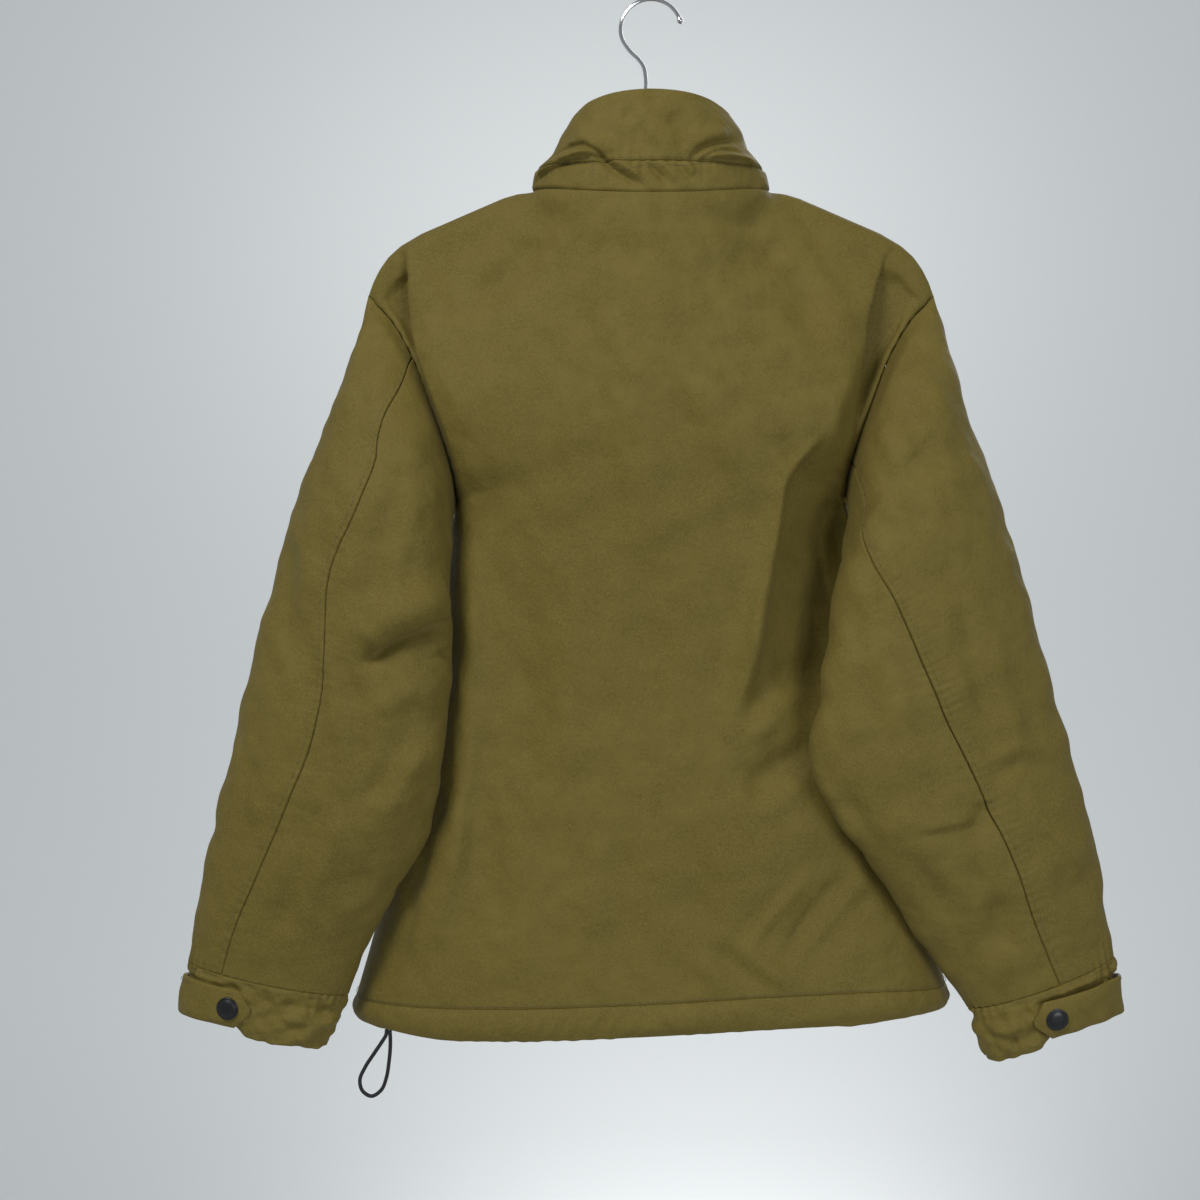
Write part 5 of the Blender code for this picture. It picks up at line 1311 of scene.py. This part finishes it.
def make_hem():
    """The casing, puffed by its cord and puckered, with the row of stitches along its top."""
    front = spread(lambda a: body(a, 0.0, False), float(place_at(ZIP_HALF_GAP, 0.0)), 1, HEM_STEP)
    behind = spread(lambda a: body(a, 0.0, True), -1, 1, HEM_STEP)[-2:0:-1]
    loop = np.concatenate([body(front, 0.0, False), body(behind, 0.0, True), body(-front[::-1], 0.0, False)])
    keep = np.concatenate([[True], np.linalg.norm(np.diff(loop, axis=0), axis=1) > 0.05 * MM])
    loop = loop[keep]
    out = level_out(loop)
    for _ in range(3):
        out = unit(np.concatenate([out[:1], (out[:-2] + 2 * out[1:-1] + out[2:]) / 4, out[-1:]]))
    travelled = steps_along(loop, 0)
    seam_wave = out * puckers(0, loop[:, 0], HEM_PHASE)[:, None]
    shares = np.concatenate([[0, 0.014, 0.036, 0.064], np.linspace(0.12, 0.88, 12), [0.936, 0.964, 0.986, 1.0]])
    points = []
    for share in shares:
        push = read(HEM_ROWS, "out", share)
        down = SEAM / 2 + casing_drop(loop[:, 0], share)
        row = loop + out * push - down[:, None] * [0, 0, 1]
        slant = travelled + 0.55 * HEM_BAND * share * np.sign(loop[:, 0])
        drawn = 0.55 + 0.45 * np.sin(travelled / (61 * MM))
        wave = HEM_WAVE * drawn * np.sin(2 * math.pi * slant / HEM_WAVE_LENGTH + 2 * np.sin(travelled / (33 * MM)))
        fade = math.sin(math.pi * share) ** 0.6 if share < 1 else 0
        row += out * (wave * fade + ripples(row) * fade)[:, None] + seam_wave * (1 - share) ** 2
        points.append(row)
    points = np.stack(points)
    way = grid_normals(points)
    way = way * np.sign((way * out[None]).sum(-1, keepdims=True))
    level = np.array([0, 0.25, 0.5, 0.75])[:, None, None]
    way[:4] = unit(way[:4] * level + out * (1 - level))
    cloth("hem_band_cloth", points, way)
    top = loop + out * 0.4 * MM + np.array([0, 0, 2.2 * MM]) + seam_wave
    stitches("hem_stitches", [(top[4:-4], out[4:-4])])


def collar_surface(turn, share, low, high):
    """The collar's outer surface with its pinches and puckers, and the way out of it."""
    points = collar(turn, share)
    way = grid_normals(points)
    way = way * np.sign((way[..., :2] * points[..., :2]).sum())
    push = unit(way * [1, 1, 0])
    x, z = points[..., 0], points[..., 2]
    behind = smooth(points[..., 1] / (12 * MM))
    up = (share - low) / (high - low)
    folds = fold_heights(COLLAR_CREASES + STAND_CREASES, x, z) + laps(COLLAR_LAPS, x, z)
    if low:
        height = folds * behind
        height += ripples(points, 1.8 * RIPPLE_SLOPE) * smooth(up / 0.1) * smooth((1 - up) / 0.05)
        height += 0.8 * MM * np.exp(-(((up - 0.10) / 0.09) ** 2)) * smooth((np.abs(x) - 34 * MM) / (12 * MM))
    else:
        height = folds * behind * smooth(up / 0.2)
        height += ripples(points, 1.2 * RIPPLE_SLOPE) * smooth(up / 0.2) * smooth((1 - up) / 0.2)
        height += 0.5 * MM * smooth(up / 0.12) * smooth((1 - up) / 0.12)
        beyond_middle = smooth((np.abs(x - 4.5 * MM) - 43 * MM) / (1.2 * MM))
        height += 0.9 * MM * beyond_middle * behind * smooth((1 - up) / 0.2)
    height += puckers((share - STAND_SHARE) * COLLAR_HEIGHT, turn * COLLAR_MEAN, 0.6, 0.8 * MM, 8 * MM)
    return points + height[..., None] * push, push


def make_collar():
    """The stand and the funnel, and their rows of stitches."""
    lines = []
    for name, low, high in (("collar_stand", 0.0, STAND_SHARE), ("collar", STAND_SHARE, 1.0)):
        rows = spread(lambda s: collar(np.full_like(s, 1.2), s), low, high, TRIM_STEP)
        columns = spread(lambda c: collar(c, np.full_like(c, 0.3)), -math.pi / 2, 1.5 * math.pi, COLLAR_STEP)
        share = (columns - columns[0]) / (columns[-1] - columns[0])
        turn = []
        for row in rows:
            opening = math.acos(ZIP_HALF_GAP / float(read(COLLAR, "half_width", row)))
            turn.append(-opening + share * (math.pi + 2 * opening))
        turn = np.stack(turn)
        grid = rows[:, None] + 0 * turn
        points, way = collar_surface(turn, grid, low, high)
        points[..., 2] += SEAM if low else 0.0
        from_zip = np.where(points[..., 1] > 0, 1, (np.abs(points[..., 0]) - ZIP_TAPE_HALF) / COLLAR_THICKENS)
        thickness = CLOTH + (COLLAR_CLOTH - CLOTH) * smooth(from_zip) * smooth(grid / STAND_SHARE)
        cloth(f"{name}_cloth", points, way, thickness, rounded=2.0 * MM)
        up = steps_along(points, 0)
        lift = COLLAR_STITCHES if low else STAND_STITCHES
        line = np.array([at_length(lift, up[:, c], points[:, c]) for c in range(points.shape[1])])
        ways = way[int(len(rows) * (0.1 if low else 0.9))]
        lines.append((line[2:-2] + ways[2:-2] * 0.15 * MM, ways[2:-2]))
        for edge in () if low else COLLAR_EDGES:
            column = int(np.argmin(np.where(points[5, :, 1] > 0, np.abs(points[5, :, 0] - edge), 9)))
            lines.append((points[3:-3, column], way[3:-3, column]))
    stitches("collar_stitches", lines, *COLLAR_STITCHING)


# The zip.


def zip_line():
    """The middle of the chain, evenly spaced from the hem up, with the ways out and up there."""
    rows = front_strip(np.array([-1 * MM, 1 * MM]), ZIP_CHAIN_SUNK)
    path = rows.mean(1)
    length = steps_along(path, 0)
    even = np.arange(2 * MM, length[-1] - 1 * MM, TOOTH_PITCH)
    line = np.stack([eased(even, length, column) for column in path.T], -1)
    upward = unit(np.gradient(line, axis=0))
    out = unit(np.cross(upward, [1.0, 0, 0]))
    return line, out * np.sign(-out[:, 1:2]), upward


def make_zip():
    """Teeth of the closed chain, alternately from each side, and the tapes behind them."""
    line, out, upward = zip_line()
    vertices, faces = [], []
    shape = np.array([(-0.4, -1), (3.0, -1), (3.0, 1), (-0.4, 1), (-1.4, 0.55), (-1.4, -0.55)])
    count = len(shape)
    for number, (at, o, u) in enumerate(zip(line, out, upward)):
        side = 1 if number % 2 else -1
        start = len(vertices)
        for depth, shrink in ((-1.9, 0.92), (-0.35, 1.0), (-0.05, 0.82)):
            for along, height in shape:
                place = at + np.array([1.0, 0, 0]) * side * along * MM * shrink + u * height * TOOTH_HALF * shrink
                vertices.append(place + o * depth * MM)
        for ring in (start, start + count):
            for a in range(count):
                b = (a + 1) % count
                faces.append((ring + a, ring + b, ring + count + b, ring + count + a))
        faces.append(tuple(start + a for a in range(count))[::-1])
        faces.append(tuple(start + 2 * count + a for a in range(count)))
    mesh = bpy.data.meshes.new("zip_teeth")
    mesh.from_pydata([tuple(v) for v in vertices], [], faces)
    made_bm = bmesh.new()
    made_bm.from_mesh(mesh)
    bmesh.ops.recalc_face_normals(made_bm, faces=made_bm.faces)
    made_bm.to_mesh(mesh)
    made_bm.free()
    mesh.materials.append(MATERIALS["zip_metal"])
    add_piece("zip_teeth", mesh, "zip_chain")
    for word in ("left", "right"):
        dress(f"zip_tape_{word}", "zip_tape")
    dress("zip_slider", "zip_metal")
    dress("zip_pull", "zip_metal")


def dress(node, material):
    """Gives a CAD node that stays its own finish."""
    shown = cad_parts[node]
    shown.data.materials.clear()
    shown.data.materials.append(MATERIALS[material])


# Hanger and cord.


def round_tube(name, points, radii, sides, material, node):
    """A round tube on a path, with closed, rounded ends; radii gives its radius at each point."""
    along = unit(np.gradient(points, axis=0))
    side = unit(np.cross(along[0], [0.31, 0.2, 0.93]))
    rings, turns = [], np.arange(sides) * 2 * math.pi / sides
    for point, way, radius in zip(points, along, radii):
        side = unit(side - way * (side @ way))
        up = np.cross(way, side)
        rings.append(point + radius * (np.cos(turns)[:, None] * side + np.sin(turns)[:, None] * up))
    ends = [points[:1] - along[:1] * radii[0] * 0.5, points[-1:] + along[-1:] * radii[-1] * 0.5]
    vertices = np.concatenate([*rings, *ends])
    index, faces = grid_quads(len(points), sides, True)
    faces = faces.tolist()
    first, last = len(vertices) - 2, len(vertices) - 1
    for a in range(sides):
        faces.append((index[0, a + 1], index[0, a], first))
        faces.append((index[-1, a], index[-1, a + 1], last))
    u = np.repeat(steps_along(points, 0), sides)
    v = np.tile(turns / (2 * math.pi), len(points))
    uv = np.concatenate([np.stack([u, v], -1), [[0, 0], [u[-1], 0]]])
    mesh = mesh_of(name, vertices, faces, [MATERIALS[material]], uv=uv)
    return add_piece(name, mesh, node)


def hook_path():
    """The middle of the hook's wire, from its free end round and down to the bar."""
    line = hanger_line()
    turns = np.radians(np.arange(HOOK_OPENS, HOOK_TURNS_IN, -10.5))
    arc = np.stack([HOOK_RADIUS * np.cos(turns), HOOK_RADIUS * np.sin(turns) + WIRE_RADIUS - HOOK_RADIUS], -1)
    crown_top = float(np.interp(STEM_X, line[:, 0], line[:, 2])) + HANGER_RADIUS + LAID_ON
    stem = [(STEM_X, z) for z in np.linspace(STEM_TOP_Z, crown_top, 5)]
    path = np.concatenate([arc, np.array(HOOK_NECK) * MM, stem])
    return smooth_route(np.insert(path, 1, 0, axis=1), 150)


def make_hanger():
    """The plated wire hook with its balled end, and the plain bar."""
    points = hook_path()
    from_end = steps_along(points, 0)
    ball = np.sqrt(np.clip(1 - ((from_end - WIRE_BALL) / WIRE_BALL_REACH) ** 2, 0, 1)) * WIRE_BALL
    radii = np.maximum(WIRE_RADIUS * np.where(from_end < 0.3 * MM, 0.3, 1), ball)
    round_tube("hanger_hook_wire", points, radii, 20, "chrome", "hanger_hook")
    fine = smooth_route(hanger_line(), 120)
    ends = (HANGER_REACH - np.abs(fine[:, 0])) / (60 * MM)
    tip = np.sqrt(np.clip(1 - (1 - np.clip(ends * 10, 0.02, 1)) ** 2, 0.1, 1))
    radii = HANGER_RADIUS * (0.72 + 0.28 * smooth(ends)) * tip
    round_tube("hanger_bar_wood", fine, radii, 24, "hanger", "hanger_bar")


def cord_route():
    """The drawcord's middle line, as its solid has it."""
    places = np.linspace(0.6, 1, 200)
    line = body(places, 0.0, True)
    order = np.argsort(line[:, 0])
    line, out = line[order], level_out(line)[order]
    route = []
    for x, away, down in np.array(CORD_ROUTE) * MM:
        held = min(x, CORD_LEAVES_X)
        seat, way = at_length(held, line[:, 0], line), unit(at_length(held, line[:, 0], out))
        place = seat + way * (HEM_ROWS["out"][-1] - CLOTH / 2 + away)
        top = float(hem_z(x) - casing_drop(x, 1.0)) - 2 * SEAM
        route.append((place[0] + x - held, place[1], top + down))
    return smooth_route(route, 60)


def make_cord():
    """The loop of elastic cord that hangs from the casing; both ends go back into it."""
    points = cord_route()
    made = round_tube("drawcord_loop", points, np.full(len(points), CORD_RADIUS), 12, "cord", "drawcord")


# Finishes.


def tree_of(name):
    """A new material, its node tree and its shader."""
    made = bpy.data.materials.new(name)
    made.use_nodes = True
    tree = made.node_tree
    return made, tree, tree.nodes["Principled BSDF"]


def fill(tree, socket, value):
    """Links another node's output to a socket, or sets the socket's own value."""
    if isinstance(value, bpy.types.NodeSocket):
        tree.links.new(value, socket)
    else:
        socket.default_value = value


def given(tree, made, **inputs):
    """Fills a node's inputs by name; a name in capitals is a property."""
    for name, value in inputs.items():
        if name.isupper():
            setattr(made, name.lower(), value)
        else:
            fill(tree, made.inputs[name.replace("_", " ")], value)
    return made


def node(tree, kind, **inputs):
    """A new shader node with some of its inputs filled."""
    return given(tree, tree.nodes.new(kind), **inputs)


def bump(tree, height, strength, distance, normal=None):
    """A bump node on a height."""
    made = node(tree, "ShaderNodeBump", Strength=strength, Distance=distance, Height=height)
    if normal:
        tree.links.new(normal, made.inputs["Normal"])
    return made.outputs["Normal"]


def worked(tree, operation, *values):
    """One step of arithmetic on a node: each value is a number or another node's output."""
    made = node(tree, "ShaderNodeMath", OPERATION=operation)
    for socket, value in zip(made.inputs, values):
        fill(tree, socket, value)
    return made.outputs[0]


def on_cut(tree):
    """The place on the flat cut: over and down, or along and round a tube."""
    place = node(tree, "ShaderNodeUVMap", UV_MAP="cut").outputs["UV"]
    split = node(tree, "ShaderNodeSeparateXYZ", Vector=place)
    return split.outputs["X"], split.outputs["Y"]


def weave(tree, pitch):
    """Height of a plain weave: threads of one pitch both ways over the cut, each passing over and under."""
    over, down = (worked(tree, "SINE", worked(tree, "MULTIPLY", at, 2 * math.pi / pitch)) for at in on_cut(tree))
    return worked(tree, "MULTIPLY", over, down)


def mixed(tree, factor, first, second):
    """Two colours mixed by a factor."""
    made = tree.nodes.new("ShaderNodeMix")
    made.data_type = "RGBA"
    tree.links.new(factor, made.inputs["Factor"])
    for socket, value in ((made.inputs["A"], first), (made.inputs["B"], second)):
        fill(tree, socket, (*value, 1) if isinstance(value, tuple) else value)
    return made.outputs["Result"]


def noise(tree, scale, detail=3.0, roughness=0.55):
    """A noise over the object."""
    place = tree.nodes.new("ShaderNodeTexCoord").outputs["Object"]
    made = node(tree, "ShaderNodeTexNoise", Vector=place, Scale=scale, Detail=detail, Roughness=roughness)
    return made.outputs["Fac"]


def spanned(tree, value, low, high):
    """A value stretched so that low gives 0 and high gives 1."""
    return node(tree, "ShaderNodeMapRange", Value=value, From_Min=low, From_Max=high).outputs["Result"]


def shell_material():
    """Dense smooth cloth: a fine weave, faint slubs and crumples, and a soft sheen."""
    made, tree, shader = tree_of("shell")
    patches = spanned(tree, noise(tree, 7.0, 1.0), 0.3, 0.7)
    grain = spanned(tree, noise(tree, 850.0, 1.0), 0.3, 0.7)
    slubs = spanned(tree, noise(tree, 60.0, 2.0), 0.3, 0.72)
    base = mixed(tree, patches, SHELL_DARK, SHELL_LIGHT)
    base = mixed(tree, slubs, SHELL_DARK, base)
    soft = bump(tree, noise(tree, 45.0, 2.0), 0.9, 1.6 * MM)
    small = bump(tree, noise(tree, 210.0, 1.0), 0.95, 0.5 * MM, soft)
    fine = bump(tree, weave(tree, 0.55 * MM), 0.35, 0.06 * MM, small)
    given(tree, shader, Base_Color=mixed(tree, grain, base, SHELL_LIGHT), Normal=fine)
    given(tree, shader, Roughness=0.62, Specular_IOR_Level=0.18)
    given(tree, shader, Sheen_Weight=0.08, Sheen_Roughness=0.45, Sheen_Tint=(0.85, 0.78, 0.5, 1))
    return made


def fleece_material():
    """Short pile: clumped, soft and uneven."""
    made, tree, shader = tree_of("fleece")
    clumps = spanned(tree, noise(tree, 240.0, 4.0, 0.7), 0.3, 0.7)
    colour = mixed(tree, clumps, (0.30, 0.25, 0.16), (0.52, 0.45, 0.31))
    deep = bump(tree, noise(tree, 240.0, 4.0, 0.7), 0.9, 1.6 * MM)
    pile = bump(tree, noise(tree, 900.0, 2.0), 0.5, 0.4 * MM, deep)
    given(tree, shader, Base_Color=colour, Normal=pile, Roughness=0.95, Specular_IOR_Level=0.15)
    given(tree, shader, Sheen_Weight=0.6, Sheen_Roughness=0.6)
    return made


def plain_material(name, colour, roughness, metallic=0.0, grain=120.0, depth=0.05 * MM, strength=0.2, varied=0.12):
    """A hard finish with slight unevenness in its colour, its gloss and its surface."""
    made, tree, shader = tree_of(name)
    value = noise(tree, grain, 3.0)
    darker = tuple(c * (1 - varied) for c in colour)
    lighter = tuple(min(c * (1 + varied), 1) for c in colour)
    mix = mixed(tree, spanned(tree, value, 0.3, 0.7), darker, lighter)
    gloss = node(tree, "ShaderNodeMapRange", Value=value, To_Min=roughness * 0.85, To_Max=roughness * 1.15)
    given(tree, shader, Base_Color=mix, Roughness=gloss.outputs["Result"], Metallic=metallic)
    given(tree, shader, Normal=bump(tree, value, strength, depth))
    return made


def cord_material():
    """Braided elastic: strands that wind both ways round it, with painted shade in the hollows between them."""
    made, tree, shader = tree_of("cord")
    along, around = on_cut(tree)
    strands = []
    for way in (1, -1):
        wound = worked(tree, "MULTIPLY", around, way * 2 * math.pi * STRANDS)
        wound = worked(tree, "MULTIPLY_ADD", along, 2 * math.pi / STRAND_LENGTH, wound)
        strands.append(worked(tree, "SINE", wound))
    height = worked(tree, "MAXIMUM", *strands)
    # The colour follows the strands' height: painted shade darker in the hollows between them, lighter on their
    # crowns.
    colour = mixed(tree, spanned(tree, height, -0.5, 1), (0.004, 0.004, 0.005), (0.02, 0.02, 0.022))
    given(tree, shader, Base_Color=colour, Normal=bump(tree, height, 0.8, 0.2 * MM), Roughness=0.6)
    return made


def make_materials():
    """All the finishes, by name."""
    return {
        "shell": shell_material(),
        "fleece": fleece_material(),
        "thread": plain_material("thread", (0.16, 0.125, 0.045), 0.75, grain=700.0),
        "snap": plain_material("snap", (0.010, 0.010, 0.011), 0.34, grain=260.0),
        "chrome": plain_material("chrome", (0.78, 0.78, 0.79), 0.09, 1.0, 60.0, 0.02 * MM, 0.05, 0.03),
        "hanger": plain_material("hanger", (0.05, 0.05, 0.052), 0.5, grain=90.0),
        "cord": cord_material(),
        "zip_tape": plain_material("zip_tape", (0.11, 0.085, 0.03), 0.8, 0.0, 900.0, 0.2 * MM, 0.5),
        "zip_metal": plain_material("zip_metal", (0.32, 0.26, 0.16), 0.33, 1.0, 240.0),
    }


# The stage.


def make_camera():
    """The photograph's view, from behind the jacket."""
    data = bpy.data.cameras.new("camera")
    data.lens, data.sensor_width, data.clip_end = 60, 36, 60
    made = bpy.data.objects.new("camera", data)
    made.location, made.rotation_euler = (0.0408, 1.6, -0.479), (math.pi / 2, 0, math.pi)
    bpy.context.collection.objects.link(made)
    bpy.context.scene.camera = made


def make_stage():
    """A pale floor that sweeps up into a pale round wall, open above, with painted light: it glows, most on the far
    side behind the jacket.
    """
    path = smooth_route([(r, 0, z) for r, z in STAGE_PROFILE], STAGE_RINGS)
    turns = np.arange(STAGE_SIDES) * 2 * math.pi / STAGE_SIDES
    rings = np.stack([np.stack([r * np.cos(turns), r * np.sin(turns), 0 * turns + z], -1) for r, _, z in path])
    _, faces = grid_quads(STAGE_RINGS, STAGE_SIDES, True)
    material, tree, shader = tree_of("backdrop")
    material.cycles.emission_sampling = "NONE"
    given(tree, shader, Base_Color=(0.50, 0.52, 0.525, 1), Roughness=1.0, Specular_IOR_Level=0.0)
    place = node(tree, "ShaderNodeSeparateXYZ", Vector=tree.nodes.new("ShaderNodeTexCoord").outputs["Object"])
    # Painted light: the backdrop glows though it is no lamp, most on its far side behind the jacket and least near
    # the camera.
    ramp = dict(From_Min=-5.0, From_Max=1.0, To_Min=0.25, To_Max=0.05)
    glow = node(tree, "ShaderNodeMapRange", Value=place.outputs["Y"], **ramp)
    given(tree, shader, Emission_Color=(0.93, 0.97, 1.0, 1), Emission_Strength=glow.outputs["Result"])
    mesh = mesh_of("backdrop", rings.reshape(-1, 3), faces, [material])
    made = bpy.data.objects.new("backdrop", mesh)
    bpy.context.collection.objects.link(made)


# Lights: name, where, aimed at, size across and up, power, colour.
LIGHTS = [
    ("key", (1.5, 2.1, 1.9), (0.0, 0.0, -0.45), (1.1, 1.1), 54.0, (1.0, 0.985, 0.95)),
    ("fill", (-1.3, 2.8, -0.3), (0.0, 0.0, -0.5), (1.2, 1.2), 26.0, (0.95, 0.98, 1.0)),
    ("front", (-1.2, -2.6, 1.0), (0.0, 0.0, -0.45), (1.8, 1.8), 30.0, (1.0, 0.99, 0.97)),
    ("glow_above", (-0.05, -4.4, 0.85), (-0.05, -5.75, 1.0), (1.6, 1.1), 14.0, (1.0, 0.99, 0.97)),
    ("glow_below", (-0.25, -3.9, -1.9), (-0.2, -5.6, -2.2), (1.4, 0.8), 13.0, (1.0, 0.98, 0.97)),
]


def make_lights():
    """Soft area lights and a pale even sky."""
    for name, place, aim, (across, up), power, colour in LIGHTS:
        data = bpy.data.lights.new(name, "AREA")
        data.shape, data.size, data.size_y, data.energy, data.color = "RECTANGLE", across, up, power, colour
        made = bpy.data.objects.new(name, data)
        made.location = place
        made.rotation_euler = (Vector(aim) - Vector(place)).to_track_quat("-Z", "Y").to_euler()
        made.visible_camera = False
        bpy.context.collection.objects.link(made)
    world = bpy.data.worlds.new("sky")
    world.use_nodes = True
    world.node_tree.nodes["Background"].inputs["Color"].default_value = (0.93, 0.96, 1.0, 1)
    world.node_tree.nodes["Background"].inputs["Strength"].default_value = 0.28
    bpy.context.scene.world = world
    bpy.context.scene.view_settings.view_transform = "Standard"


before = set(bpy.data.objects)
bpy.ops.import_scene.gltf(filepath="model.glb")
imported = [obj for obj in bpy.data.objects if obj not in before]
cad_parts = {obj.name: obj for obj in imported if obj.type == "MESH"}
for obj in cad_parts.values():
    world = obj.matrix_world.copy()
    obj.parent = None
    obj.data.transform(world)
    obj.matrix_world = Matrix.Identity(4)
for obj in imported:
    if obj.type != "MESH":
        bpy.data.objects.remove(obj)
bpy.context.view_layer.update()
make_camera()
MATERIALS = make_materials()
make_cord()
make_body()
for SIDE_SIGN, WORD in ((1, "left"), (-1, "right")):
    make_sleeve(SIDE_SIGN, WORD)
    make_cuff(SIDE_SIGN, WORD)
make_hem()
make_collar()
make_zip()
make_hanger()
make_stage()
make_lights()
